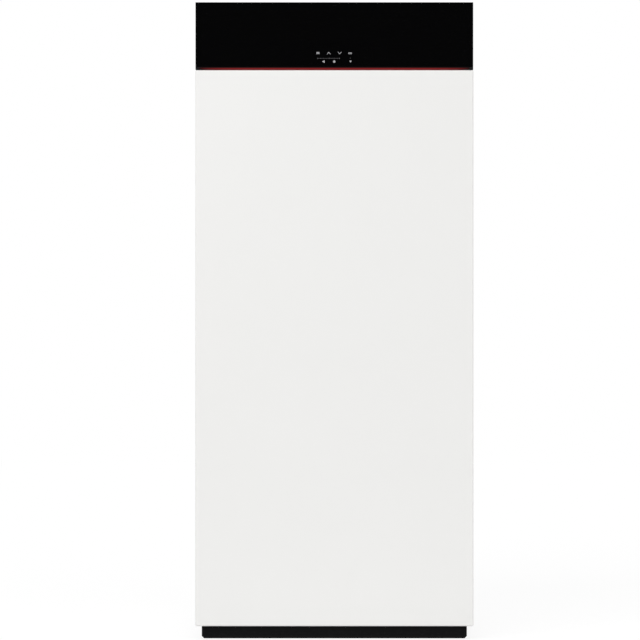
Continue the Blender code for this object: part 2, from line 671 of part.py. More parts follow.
upper_rim = tank_top - TANK_DISH
lower_rim = tank_bottom + TANK_DISH
inner_top = dish(tank_inside, TANK_DISH - TANK_WALL, upper_rim, 1, NECK_RADIUS - TANK_WALL)
outer_top = dish(tank_radius, TANK_DISH, upper_rim, 1, NECK_RADIUS)
tank_profile = list(reversed(dish(tank_inside, TANK_DISH - TANK_WALL, lower_rim, -1)))
tank_profile += inner_top
tank_profile += [(NECK_RADIUS - TANK_WALL, neck_top), (NECK_FLANGE_RADIUS, neck_top),
                 (NECK_FLANGE_RADIUS, neck_top - NECK_FLANGE),
                 (NECK_RADIUS, neck_top - NECK_FLANGE)]
tank_profile += list(reversed(outer_top))
tank_profile += dish(tank_radius, TANK_DISH, lower_rim, -1)
tank_profile[0] = (0, tank_profile[0][1])
tank_profile[-1] = (0, tank_profile[-1][1])
turned("cylinder_tank", tank_profile, (0, CYLINDER_Y, 0), STAINLESS)

# Cylinder flange: the neck's cover, with holes for the anode and the dip pipe
COVER_THICKNESS = 0.008
ANODE_RADIUS = 0.011
ANODE_LENGTH = 0.380
ANODE_HEAD_RADIUS = 0.017
ANODE_HEAD_HEIGHT = 0.012
PORT_X = 0.034                       # the two water ports stand this far from the anode
PORT_Y = 0.018
ANODE_BACK = -0.020

flange_bottom = neck_top + FIT
flange_top = flange_bottom + COVER_THICKNESS
flange = cylinder("cylinder_flange", NECK_FLANGE_RADIUS, (flange_bottom, flange_top),
                  (0, CYLINDER_Y, 0), STAINLESS, sides=32)
through = (flange_bottom - OVERRUN, flange_top + OVERRUN)
anode_place = (0, CYLINDER_Y + ANODE_BACK, 0)
port_y = CYLINDER_Y + PORT_Y
cut(flange,
    cylinder("anode_hole", ANODE_RADIUS + FIT, through, anode_place, sides=16),
    cylinder("dip_hole", WATER_RADIUS + FIT, through, (PORT_X, port_y, 0), sides=16),
    cylinder("draw_hole", WATER_RADIUS - SHEET, through, (-PORT_X, port_y, 0), sides=16))
anode_top = flange_top + FIT + ANODE_HEAD_HEIGHT
turned("magnesium_anode",
       [(0, anode_top), (ANODE_HEAD_RADIUS, anode_top), (ANODE_HEAD_RADIUS, flange_top + FIT),
        (ANODE_RADIUS, flange_top + FIT), (ANODE_RADIUS, flange_top - ANODE_LENGTH),
        (0, flange_top - ANODE_LENGTH)], anode_place, CAST_ALUMINIUM, steps=12)

# Shelves: folded trays fixed between the side panels
SHELF_SHEET = 0.0015
SHELF_LIP = 0.014
HYDRAULIC_SHELF_TOP = 0.714
HYDRAULIC_SHELF_DEPTH = 0.168
BOILER_SHELF_LIP = 0.020
BARREL_RADIUS = 0.125
BARREL_Z = 1.076
BARREL_BEHIND = 0.1775               # from the casing's front to the barrel's
BARREL_FRONT = FRONT + BARREL_BEHIND
FLUE_BEND = 0.036
DUCT_RUN = 0.009                     # straight start of the flue duct behind the barrel
BARREL_LENGTH = FLUE_Y - FLUE_BEND - DUCT_RUN - BARREL_FRONT
BOILER_SHELF_BEHIND = 0.004          # how far the shelf starts behind the barrel's front
BOILER_SHELF_BEYOND = 0.028          # and how much longer it is than the barrel

hydraulic_front = rail_front
sheet_pan("hydraulic_shelf", (-rail_half, rail_half),
          (hydraulic_front, hydraulic_front + HYDRAULIC_SHELF_DEPTH),
          (HYDRAULIC_SHELF_TOP - SHELF_LIP, HYDRAULIC_SHELF_TOP), (0, 0, -1), GALVANISED,
          SHELF_SHEET)
boiler_shelf_top = BARREL_Z - BARREL_RADIUS - FIT
boiler_shelf_front = BARREL_FRONT + BOILER_SHELF_BEHIND
boiler_shelf = sheet_pan("boiler_shelf", (-inside_half, inside_half),
                         (boiler_shelf_front,
                          boiler_shelf_front + BARREL_LENGTH + BOILER_SHELF_BEYOND),
                         (boiler_shelf_top - BOILER_SHELF_LIP, boiler_shelf_top), (0, 0, -1),
                         GALVANISED, SHELF_SHEET)

# Heat exchanger: a steel barrel on the boiler shelf, open at the front, with its coil inside
BARREL_WALL = 0.003
FLUE_RADIUS = 0.030
FLUE_WALL = 0.0015
DRAIN_BEHIND = 0.060                 # from the barrel's front to its drain
DRAIN_RADIUS = 0.010
DRAIN_LENGTH = 0.036
COIL_RADIUS = 0.085
COIL_TUBE_RADIUS = 0.009
COIL_PITCH = 0.0225
COIL_START = 0.030                   # from the barrel's end to the nearest turn
COIL_TAIL_RADIUS = 0.108             # where the front tail runs back past the turns
COIL_STEPS = 12                      # points in a turn
TAIL_BEYOND = 0.012                  # how far both tails stand out behind the barrel
TAIL_LIFT = 0.25                     # part of a turn in which the front tail moves outwards

DRAIN_Y = BARREL_FRONT + DRAIN_BEHIND
barrel_rear = BARREL_FRONT + BARREL_LENGTH
coil_turns = int((BARREL_LENGTH - 2 * COIL_START) / COIL_PITCH - 0.5)
barrel_inside = BARREL_RADIUS - BARREL_WALL
barrel = turned("heat_exchanger_shell",
                [(0, BARREL_LENGTH), (BARREL_RADIUS, BARREL_LENGTH), (BARREL_RADIUS, 0),
                 (barrel_inside, 0), (barrel_inside, BARREL_LENGTH - BARREL_WALL),
                 (0, BARREL_LENGTH - BARREL_WALL)],
                (0, BARREL_FRONT, BARREL_Z), STAINLESS, "Y")
tail_span = (BARREL_LENGTH - BARREL_WALL - OVERRUN, BARREL_LENGTH + OVERRUN)
drain_bottom = BARREL_Z - barrel_inside - DRAIN_LENGTH
join(barrel, cylinder("drain_spigot", DRAIN_RADIUS, (drain_bottom, BARREL_Z - barrel_inside),
                      (0, DRAIN_Y, 0), sides=16))
cut(barrel,
    cylinder("drain_bore", DRAIN_RADIUS - FLUE_WALL, (drain_bottom - OVERRUN,
             BARREL_Z - barrel_inside + OVERRUN), (0, DRAIN_Y, 0), sides=12),
    cylinder("flue_port", FLUE_RADIUS - FLUE_WALL, tail_span, (0, BARREL_FRONT, BARREL_Z),
             axis="Y", sides=16),
    cylinder("front_tail_hole", COIL_TUBE_RADIUS + FIT, tail_span,
             (COIL_TAIL_RADIUS, BARREL_FRONT, BARREL_Z), axis="Y", sides=12),
    cylinder("rear_tail_hole", COIL_TUBE_RADIUS + FIT, tail_span,
             (-COIL_RADIUS, BARREL_FRONT, BARREL_Z), axis="Y", sides=12))


def coil_route():
    """From the front tail's end to the first turn, round all turns and out at the rear."""
    tail_end = barrel_rear + TAIL_BEYOND
    first_y = BARREL_FRONT + COIL_START
    points = [Vector((COIL_TAIL_RADIUS, tail_end, BARREL_Z)),
              Vector((COIL_TAIL_RADIUS, first_y + COIL_TUBE_RADIUS, BARREL_Z))]
    steps = int(COIL_STEPS * (coil_turns + 0.5))
    for step in range(1, steps + 1):
        turn = step / COIL_STEPS
        inward = min(turn / TAIL_LIFT, 1)
        radius = COIL_TAIL_RADIUS + (COIL_RADIUS - COIL_TAIL_RADIUS) * inward
        angle = turn * 2 * math.pi
        points.append(Vector((radius * math.cos(angle), first_y + COIL_PITCH * turn,
                              BARREL_Z + radius * math.sin(angle))))
    last = points[-1]
    points.append(Vector((last.x, last.y + COIL_TUBE_RADIUS, last.z)))
    points.append(Vector((last.x, tail_end, last.z)))
    return points


tube("heat_exchanger_coil", coil_route(), COIL_TUBE_RADIUS, STAINLESS, 1)
cut(boiler_shelf, cylinder("drain_hole", DRAIN_RADIUS + STUB_PLAY,
                           (boiler_shelf_top - BOILER_SHELF_LIP - OVERRUN,
                            boiler_shelf_top + OVERRUN), (0, DRAIN_Y, 0), sides=16))

# Burner door: the barrel's insulated front plate, with the gauze burner behind it
DOOR_RADIUS = 0.129
DOOR_THICKNESS = 0.010
MIX_PORT_RADIUS = 0.030
GAUZE_RADIUS = 0.035
GAUZE_CLEAR = 0.070                  # from the gauze's end to the barrel's rear
GAUZE_LENGTH = BARREL_LENGTH - GAUZE_CLEAR
GAUZE_WALL = 0.0015
ELECTRODE_RADIUS = 0.0050
ELECTRODE_PLACE = 0.104              # from the barrel's middle to the electrode
ELECTRODE_BEARING = math.radians(50)
ELECTRODE_FRONT = 0.022
ELECTRODE_REACH = 0.012
ELECTRODE_WIRE = 0.0012
ELECTRODE_WIRE_IN = 0.050            # how far its wire reaches in towards the gauze
ELECTRODE_WIRE_OUT = 0.0096          # straight length of the wire before it turns in
ELECTRODE_WIRE_BEND = 0.0024

door_rear = BARREL_FRONT - FIT
door_front = door_rear - DOOR_THICKNESS
door = cylinder("burner_door", DOOR_RADIUS, (door_front, door_rear), (0, 0, BARREL_Z),
                CAST_ALUMINIUM, "Y", 32)
electrode_x = ELECTRODE_PLACE * math.cos(ELECTRODE_BEARING)
electrode_z = BARREL_Z + ELECTRODE_PLACE * math.sin(ELECTRODE_BEARING)
door_span = (door_front - OVERRUN, door_rear + OVERRUN)
cut(door,
    cylinder("mix_port", MIX_PORT_RADIUS, door_span, (0, 0, BARREL_Z), axis="Y"),
    cylinder("electrode_hole", ELECTRODE_RADIUS + FIT, door_span, (electrode_x, 0, electrode_z),
             axis="Y", sides=12))
turned("burner_gauze",
       [(0, GAUZE_LENGTH), (GAUZE_RADIUS, GAUZE_LENGTH), (GAUZE_RADIUS, 0),
        (GAUZE_RADIUS - GAUZE_WALL, 0), (GAUZE_RADIUS - GAUZE_WALL, GAUZE_LENGTH - GAUZE_WALL),
        (0, GAUZE_LENGTH - GAUZE_WALL)], (0, BARREL_FRONT, BARREL_Z), STAINLESS, "Y", 24)
electrode = turned("ignition_electrode",
                   [(0, ELECTRODE_FRONT + ELECTRODE_REACH),
                    (ELECTRODE_RADIUS, ELECTRODE_FRONT + ELECTRODE_REACH),
                    (ELECTRODE_RADIUS, 0), (0, 0)],
                   (electrode_x, door_rear - ELECTRODE_FRONT, electrode_z), CERAMIC, "Y", 12)
wire_y = door_rear + ELECTRODE_REACH
inward = Vector((-math.cos(ELECTRODE_BEARING), 0, -math.sin(ELECTRODE_BEARING)))
wire_start = Vector((electrode_x, wire_y - ELECTRODE_REACH / 2, electrode_z))
wire_corner = wire_start + Vector((0, ELECTRODE_WIRE_OUT, 0))
wire = as_mesh(tube("electrode_wire",
                    bent([wire_start, wire_corner, wire_corner + inward * ELECTRODE_WIRE_IN],
                         ELECTRODE_WIRE_BEND, 3), ELECTRODE_WIRE, roundness=1))
join(electrode, wire)

# Fan: a housing on the burner door, the impeller inside it and the motor in front
FAN_RADIUS = 0.084
FAN_DEPTH = 0.058
FAN_WALL = 0.0025
FAN_SHAFT_RADIUS = 0.004
FAN_MOTOR_RADIUS = 0.042
FAN_MOTOR_LENGTH = 0.052
FAN_MOTOR_NOSE_RADIUS = 0.0336
FAN_MOTOR_NOSE = 0.013               # length of the motor's tapered front
FAN_SHAFT_IN_MOTOR = 0.018
IMPELLER_TIP = 0.068
IMPELLER_ROOT = 0.040
IMPELLER_BLADES = 20
IMPELLER_WIDTH = 0.024
IMPELLER_BLADE_SHARE = 0.35
IMPELLER_FROM_DOOR = 0.016
INLET_RADIUS = 0.022
INLET_REACH = 0.138                  # from the fan's middle to the gas valve's face

fan_rear = door_front - FIT
fan_front = fan_rear - FAN_DEPTH
fan_housing = turned("fan_housing",
                     [(FAN_RADIUS, FAN_DEPTH), (FAN_RADIUS, 0), (FAN_SHAFT_RADIUS * 2, 0),
                      (FAN_SHAFT_RADIUS * 2, FAN_WALL), (FAN_RADIUS - FAN_WALL, FAN_WALL),
                      (FAN_RADIUS - FAN_WALL, FAN_DEPTH)],
                     (0, fan_front, BARREL_Z), CAST_ALUMINIUM, "Y", ring=True)
inlet_y = fan_front + FAN_DEPTH / 2
inlet = cylinder("fan_inlet", INLET_RADIUS, (FAN_RADIUS - FAN_WALL * 2, INLET_REACH),
                 (0, inlet_y, BARREL_Z), axis="X")
inlet_bore = cylinder("fan_inlet_bore", INLET_RADIUS - FAN_WALL,
                      (FAN_RADIUS - INLET_RADIUS, INLET_REACH + OVERRUN),
                      (0, inlet_y, BARREL_Z), axis="X")
cut(join(fan_housing, inlet), inlet_bore)
impeller_y = fan_rear - IMPELLER_FROM_DOOR - IMPELLER_WIDTH / 2
impeller = as_mesh(plate("fan_impeller",
                         toothed_outline(IMPELLER_ROOT, IMPELLER_TIP, IMPELLER_BLADES,
                                         IMPELLER_BLADE_SHARE), IMPELLER_WIDTH,
                         (0, impeller_y, BARREL_Z), CAST_ALUMINIUM, AXIS_TURN["Y"]))
join(impeller, cylinder("fan_shaft", FAN_SHAFT_RADIUS,
                        (fan_front - FIT - FAN_SHAFT_IN_MOTOR, impeller_y), (0, 0, BARREL_Z),
                        axis="Y", sides=12))
motor_rear = fan_front - FIT
turned("fan_motor",
       [(FAN_MOTOR_RADIUS, FAN_MOTOR_LENGTH), (FAN_MOTOR_RADIUS, FAN_MOTOR_NOSE),
        (FAN_MOTOR_NOSE_RADIUS, 0), (0, 0), (0, FAN_MOTOR_LENGTH - FAN_SHAFT_IN_MOTOR - FIT),
        (FAN_SHAFT_RADIUS + FIT, FAN_MOTOR_LENGTH - FAN_SHAFT_IN_MOTOR - FIT),
        (FAN_SHAFT_RADIUS + FIT, FAN_MOTOR_LENGTH)],
       (0, motor_rear - FAN_MOTOR_LENGTH, BARREL_Z), GREY_PLASTIC, "Y", ring=True)

# Gas valve: a cast block with its regulator cap, on the fan's inlet
VALVE_WIDTH = 0.060
VALVE_DEPTH = 0.062
VALVE_HEIGHT = 0.078
REGULATOR_RADIUS = 0.022
REGULATOR_HEIGHT = 0.018
VALVE_ROUNDING = 0.004

valve_x = INLET_REACH + FIT + VALVE_WIDTH / 2
valve_top = BARREL_Z + VALVE_HEIGHT / 2
gas_valve = box("gas_valve", (INLET_REACH + FIT, INLET_REACH + FIT + VALVE_WIDTH),
                (inlet_y - VALVE_DEPTH / 2, inlet_y + VALVE_DEPTH / 2),
                (BARREL_Z - VALVE_HEIGHT / 2, valve_top), CAST_ALUMINIUM, VALVE_ROUNDING)
join(gas_valve,
     cylinder("regulator", REGULATOR_RADIUS, (-REGULATOR_HEIGHT, VALVE_ROUNDING),
              (valve_x, inlet_y - VALVE_DEPTH / 2, BARREL_Z), axis="Y", sides=20))

# Flue duct: from the barrel's rear up to the collar, a thin tube
DUCT_BELOW_TOP = 0.018
COLLAR_WALL = 0.002
COLLAR_RISE = 0.034
COLLAR_SOCKET_DEPTH = 0.030
COLLAR_FLANGE_RADIUS = 0.076
COLLAR_FLANGE = 0.003
COLLAR_RIB = 0.003


def duct(name, radius, beyond):
    """The duct's path as a bar, with its straight ends drawn out by the given length."""
    return as_mesh(tube(name, bent([(0, barrel_rear + FIT - beyond, BARREL_Z),
                                    (0, FLUE_Y, BARREL_Z),
                                    (0, FLUE_Y, TOP - DUCT_BELOW_TOP + beyond)],
                                   FLUE_BEND, 5), radius, STAINLESS, 5))


cut(duct("flue_duct", FLUE_RADIUS, 0), duct("flue_duct_bore", FLUE_RADIUS - FLUE_WALL, OVERRUN))

# Flue collar: two tubes one inside the other, joined by three ribs, with a flange on the top
socket_radius = (FLUE_RADIUS + FIT) / math.cos(math.pi / TURNED_STEPS)
collar_top = TOP + COLLAR_RISE
collar_flange_top = TOP + FIT + COLLAR_FLANGE
socket_bottom = TOP - COLLAR_SOCKET_DEPTH
socket_outer = socket_radius + COLLAR_WALL
collar = turned("flue_collar",
                [(COLLAR_OUTER_RADIUS, collar_top), (COLLAR_OUTER_RADIUS, collar_flange_top),
                 (COLLAR_FLANGE_RADIUS, collar_flange_top), (COLLAR_FLANGE_RADIUS, TOP + FIT),
                 (COLLAR_OUTER_RADIUS, TOP + FIT), (COLLAR_OUTER_RADIUS, socket_bottom),
                 (COLLAR_OUTER_RADIUS - COLLAR_WALL, socket_bottom),
                 (COLLAR_OUTER_RADIUS - COLLAR_WALL, collar_top)],
                (0, FLUE_Y, 0), BLACK_PLASTIC, ring=True)
socket = turned("collar_socket",
                [(socket_outer, collar_top), (socket_outer, socket_bottom),
                 (socket_radius, socket_bottom), (socket_radius, collar_top)],
                (0, FLUE_Y, 0), ring=True)
ribs = [box(f"collar_rib_{index}", (socket_radius + COLLAR_WALL / 2,
                                    COLLAR_OUTER_RADIUS - COLLAR_WALL / 2),
            (-COLLAR_RIB / 2, COLLAR_RIB / 2), (socket_bottom, TOP)) for index in range(3)]
for index, rib in enumerate(ribs):
    bearing = QUARTER + index * 2 * math.pi / len(ribs)
    reach = rib.location.x
    rib.location = (reach * math.cos(bearing), FLUE_Y + reach * math.sin(bearing), rib.location.z)
    rib.rotation_euler = (0, 0, bearing)
join(collar, *ribs, socket)

# Condensate trap under the barrel, and its hose to the rear panel
TRAP_RADIUS = 0.034
TRAP_HEIGHT = 0.110
TRAP_NECK_RADIUS = 0.018
TRAP_NECK = 0.020

trap_top = drain_bottom - FIT
trap_bottom = trap_top - TRAP_HEIGHT
turned("condensate_trap",
       [(0, trap_top), (TRAP_NECK_RADIUS, trap_top), (TRAP_NECK_RADIUS, trap_top - TRAP_NECK),
        (TRAP_RADIUS, trap_top - TRAP_NECK), (TRAP_RADIUS, trap_bottom), (0, trap_bottom)],
       (0, DRAIN_Y, 0), GREY_PLASTIC, steps=24)
trap_side = DRAIN_Y + TRAP_RADIUS + FIT
tube("condensate_hose", [(0, trap_side, HOSE_Z), (0, REAR - FIT, HOSE_Z)], HOSE_RADIUS,
     GREY_PLASTIC)

# Circulation pump: a cast volute standing on the hydraulic shelf, its impeller and its motor
PUMP_X = 0.140
PUMP_RADIUS = 0.050
PUMP_DEPTH = 0.046
PUMP_BEHIND = 0.1575                 # from the casing's front to the pump's rear
PUMP_REAR = FRONT + PUMP_BEHIND
PUMP_WALL = 0.004
PUMP_SHAFT_RADIUS = 0.004
PUMP_MOTOR_RADIUS = 0.043
PUMP_MOTOR_LENGTH = 0.056
PUMP_MOTOR_NOSE_RADIUS = 0.0365
PUMP_MOTOR_NOSE = 0.011              # length of the motor's tapered front
PUMP_SHAFT_IN_MOTOR = 0.016
PUMP_IMPELLER_TIP = 0.034
PUMP_IMPELLER_ROOT = 0.016
PUMP_IMPELLER_WIDTH = 0.012
PUMP_BLADES = 6
PUMP_BLADE_SHARE = 0.30
PUMP_FOOT_WIDTH = 0.050
PUMP_FOOT_HEIGHT = 0.012
SPIGOT_RADIUS = 0.014
SPIGOT_LENGTH = 0.012

pump_z = HYDRAULIC_SHELF_TOP + FIT + PUMP_FOOT_HEIGHT / 2 + PUMP_RADIUS
pump_front = PUMP_REAR - PUMP_DEPTH
pump_middle = (PUMP_REAR + pump_front) / 2
pump = turned("pump_body",
              [(0, PUMP_DEPTH), (PUMP_RADIUS, PUMP_DEPTH), (PUMP_RADIUS, 0),
               (PUMP_RADIUS - PUMP_WALL, 0), (PUMP_RADIUS - PUMP_WALL, PUMP_DEPTH - PUMP_WALL),
               (0, PUMP_DEPTH - PUMP_WALL)],
              (PUMP_X, pump_front, pump_z), CAST_IRON, "Y", 28)
join(pump,
     cylinder("pump_inlet", SPIGOT_RADIUS, (-PUMP_WALL / 2, SPIGOT_LENGTH),
              (PUMP_X, PUMP_REAR, pump_z), axis="Y", sides=16),
     cylinder("pump_outlet", SPIGOT_RADIUS,
              (PUMP_RADIUS - PUMP_WALL / 2, PUMP_RADIUS + SPIGOT_LENGTH),
              (PUMP_X, pump_middle, pump_z), sides=16),
     box("pump_foot", (PUMP_X - PUMP_FOOT_WIDTH / 2, PUMP_X + PUMP_FOOT_WIDTH / 2),
         (pump_front + PUMP_WALL, PUMP_REAR - PUMP_WALL),
         (HYDRAULIC_SHELF_TOP + FIT, HYDRAULIC_SHELF_TOP + PUMP_FOOT_HEIGHT)))
pump_impeller = as_mesh(plate("pump_impeller",
                              toothed_outline(PUMP_IMPELLER_ROOT, PUMP_IMPELLER_TIP, PUMP_BLADES,
                                              PUMP_BLADE_SHARE), PUMP_IMPELLER_WIDTH,
                              (PUMP_X, pump_middle, pump_z), GREY_PLASTIC, AXIS_TURN["Y"]))
join(pump_impeller, cylinder("pump_shaft", PUMP_SHAFT_RADIUS,
                             (pump_front - FIT - PUMP_SHAFT_IN_MOTOR, pump_middle),
                             (PUMP_X, 0, pump_z), axis="Y", sides=12))
motor_bore_start = PUMP_MOTOR_LENGTH - PUMP_SHAFT_IN_MOTOR - FIT * 2
turned("pump_motor",
       [(PUMP_RADIUS, PUMP_MOTOR_LENGTH), (PUMP_RADIUS, PUMP_MOTOR_LENGTH - PUMP_WALL),
        (PUMP_MOTOR_RADIUS, PUMP_MOTOR_LENGTH - PUMP_WALL),
        (PUMP_MOTOR_RADIUS, PUMP_MOTOR_NOSE),
        (PUMP_MOTOR_NOSE_RADIUS, 0), (0, 0), (0, motor_bore_start),
        (PUMP_SHAFT_RADIUS + FIT, motor_bore_start),
        (PUMP_SHAFT_RADIUS + FIT, PUMP_MOTOR_LENGTH)],
       (PUMP_X, pump_front - FIT - PUMP_MOTOR_LENGTH, pump_z), BLACK_PLASTIC, "Y", 28, ring=True)

# Diverter valve: a bored brass block, the plunger in it and the actuator that lifts it
DIVERTER_HALF_WIDTH = 0.042
DIVERTER_BEHIND = 0.1025             # from the casing's front to the diverter's
DIVERTER_DEPTH = 0.050
DIVERTER_FRONT = FRONT + DIVERTER_BEHIND
DIVERTER_REAR = DIVERTER_FRONT + DIVERTER_DEPTH
DIVERTER_HEIGHT = 0.086
DIVERTER_FLOOR = 0.020
DIVERTER_TRAVEL = 0.006
PLUNGER_RADIUS = 0.010
PLUNGER_LENGTH = 0.030
PLUNGER_STEM_RADIUS = 0.003
PLUNGER_STEM_ABOVE = 0.022           # how far the stem reaches into the actuator
ACTUATOR_HALF_WIDTH = 0.030
ACTUATOR_HEIGHT = 0.062
ACTUATOR_ROUNDING = 0.004

diverter_y = (DIVERTER_FRONT + DIVERTER_REAR) / 2
diverter_bottom = HYDRAULIC_SHELF_TOP + FIT
diverter_top = diverter_bottom + DIVERTER_HEIGHT
plunger_bottom = diverter_bottom + DIVERTER_FLOOR + FIT
diverter = box("diverter_body", (-DIVERTER_HALF_WIDTH, DIVERTER_HALF_WIDTH),
               (DIVERTER_FRONT, DIVERTER_REAR), (diverter_bottom, diverter_top), BRASS)
cut(diverter, cylinder("diverter_bore", PLUNGER_RADIUS + FIT,
                       (diverter_bottom + DIVERTER_FLOOR, diverter_top + OVERRUN),
                       (0, diverter_y, 0), sides=20))
stem_top = diverter_top + PLUNGER_STEM_ABOVE
turned("diverter_plunger",
       [(0, stem_top), (PLUNGER_STEM_RADIUS, stem_top),
        (PLUNGER_STEM_RADIUS, plunger_bottom + PLUNGER_LENGTH),
        (PLUNGER_RADIUS, plunger_bottom + PLUNGER_LENGTH), (PLUNGER_RADIUS, plunger_bottom),
        (0, plunger_bottom)], (0, diverter_y, 0), BRASS, steps=20)
actuator = box("diverter_actuator", (-ACTUATOR_HALF_WIDTH, ACTUATOR_HALF_WIDTH),
               (DIVERTER_FRONT, DIVERTER_REAR),
               (diverter_top + FIT, diverter_top + FIT + ACTUATOR_HEIGHT), BLACK_PLASTIC,
               ACTUATOR_ROUNDING)
cut(actuator, cylinder("actuator_bore", PLUNGER_STEM_RADIUS + FIT,
                       (diverter_top - OVERRUN, stem_top + DIVERTER_TRAVEL + FIT),
                       (0, diverter_y, 0), sides=20))

# Plate heat exchanger: a stack of stamped plates between two end plates
STACK_BESIDE = 0.038                 # from the casing's side to the stack's
STACK_WIDTH = 0.112
STACK_HEIGHT = 0.186
STACK_BEHIND = 0.0975                # from the casing's front to the stack's
STACK_PLATES = 12
STACK_PLATE_PITCH = 0.0065
STACK_GROOVE = 0.004
STACK_GROOVE_SHARE = 0.4             # part of a pitch that the groove between plates takes


def stack_outline():
    """The side of the stack seen from the top: a comb on both sides."""
    half = STACK_WIDTH / 2
    right = []
    for step in range(STACK_PLATES):
        start = step * STACK_PLATE_PITCH
        stop = start + STACK_PLATE_PITCH * (1 - STACK_GROOVE_SHARE)
        right += [(half, start), (half, stop)]
        if step < STACK_PLATES - 1:
            right += [(half - STACK_GROOVE, stop), (half - STACK_GROOVE, start + STACK_PLATE_PITCH)]
    left = [(-across, along) for across, along in reversed(right)]
    return right + left


stack_bottom = HYDRAULIC_SHELF_TOP + FIT
plate("plate_heat_exchanger", stack_outline(), STACK_HEIGHT,
      (STACK_BESIDE - half_width + STACK_WIDTH / 2, FRONT + STACK_BEHIND,
       stack_bottom + STACK_HEIGHT / 2), STAINLESS)

# Expansion vessel: a flat round vessel standing on the boiler shelf at the left
VESSEL_RADIUS = 0.162
VESSEL_WIDTH = 0.112
VESSEL_ROUNDING = 0.026
VESSEL_OUTSIDE = 0.008               # between the vessel and the side panel
VESSEL_Y = 0.056
VESSEL_WALL = 0.0015
VESSEL_PORT_RADIUS = 0.006           # the water connection, in the middle of its inner side

vessel_x = VESSEL_OUTSIDE - inside_half
rim = VESSEL_RADIUS - VESSEL_ROUNDING
inner_rim = rim - VESSEL_WALL
vessel_inside = VESSEL_RADIUS - VESSEL_WALL
turned("expansion_vessel",
       [(0, VESSEL_WALL), (inner_rim, VESSEL_WALL), (vessel_inside, VESSEL_ROUNDING),
        (vessel_inside, VESSEL_WIDTH - VESSEL_ROUNDING), (inner_rim, VESSEL_WIDTH - VESSEL_WALL),
        (VESSEL_PORT_RADIUS, VESSEL_WIDTH - VESSEL_WALL), (VESSEL_PORT_RADIUS, VESSEL_WIDTH),
        (rim, VESSEL_WIDTH), (VESSEL_RADIUS, VESSEL_WIDTH - VESSEL_ROUNDING),
        (VESSEL_RADIUS, VESSEL_ROUNDING), (rim, 0), (0, 0)],
       (vessel_x, VESSEL_Y, boiler_shelf_top + FIT + VESSEL_RADIUS), VESSEL_RED, "X")

# Safety valve: a brass body on the hydraulic shelf and the red knob that lifts it
SAFETY_BESIDE = 0.060                # from the casing's side to the valve's middle
SAFETY_BEHIND = 0.1375               # and from its front
SAFETY_X = half_width - SAFETY_BESIDE
SAFETY_Y = FRONT + SAFETY_BEHIND
SAFETY_RADIUS = 0.015
SAFETY_HEIGHT = 0.046
SAFETY_STEM_RADIUS = 0.006
SAFETY_STEM = 0.016
KNOB_RADIUS = 0.019
KNOB_HEIGHT = 0.024
KNOB_LOBES = 8
KNOB_LOBE_DEPTH = 0.002
KNOB_LOBE_SHARE = 0.5

safety_bottom = HYDRAULIC_SHELF_TOP + FIT
safety_shoulder = safety_bottom + SAFETY_HEIGHT
safety_top = safety_shoulder + SAFETY_STEM
turned("safety_valve_body",
       [(0, safety_top), (SAFETY_STEM_RADIUS, safety_top), (SAFETY_STEM_RADIUS, safety_shoulder),
        (SAFETY_RADIUS, safety_shoulder), (SAFETY_RADIUS, safety_bottom), (0, safety_bottom)],
       (SAFETY_X, SAFETY_Y, 0), BRASS, steps=20)
knob_bottom = safety_shoulder + FIT
knob = as_mesh(plate("safety_valve_knob",
                     toothed_outline(KNOB_RADIUS - KNOB_LOBE_DEPTH, KNOB_RADIUS, KNOB_LOBES,
                                     KNOB_LOBE_SHARE), KNOB_HEIGHT,
                     (SAFETY_X, SAFETY_Y, knob_bottom + KNOB_HEIGHT / 2), RED_PLASTIC))
cut(knob, cylinder("knob_bore", SAFETY_STEM_RADIUS + FIT,
                   (knob_bottom - OVERRUN, safety_top + FIT), (SAFETY_X, SAFETY_Y, 0), sides=20))

# Pipes: each runs from its stub on the top to the piece that it serves
PIPE_BEND = 0.021
PIPE_LANE = 0.100                    # the heating pipes' lane beside the middle
PORT_SPREAD = 0.025                  # the diverter's rear ports stand this far from its middle
PORT_Z = 0.765
PORT_LEAD = 0.045                    # straight length behind the diverter
HIGH_LANE_Z = 0.860
RETURN_LANE_Z = 0.896
RETURN_LANE_Y = STUB_Y - 0.031
FLOW_LANE_Y = STUB_Y - 0.060
CYLINDER_LANE_Z = 0.802
CYLINDER_LANE_Y = STUB_Y - 0.085
GAS_LANE_Z = 1.300
GAS_LANE_Y = STUB_Y - 0.045
GAS_DROP_Z = 1.222
DIP_REACH = 0.520                    # how far the cold pipe dips into the tank
BORE_DEPTH = 0.015
PIPE_WALL = 0.0015

stub_top = TOP + STUB_RISE


def pipe(name, corners, radius=WATER_RADIUS, coat=COPPER, stub=None):
    """A bent pipe. One that ends in a stub on the top is bored there."""
    line = tube(name, bent(corners, PIPE_BEND), radius, coat)
    if stub is None:
        return line
    bore = cylinder(f"{name}_bore", radius - PIPE_WALL, (stub_top - BORE_DEPTH, stub_top + OVERRUN),
                    (stub, STUB_Y, 0), sides=12)
    return cut(as_mesh(line), bore)


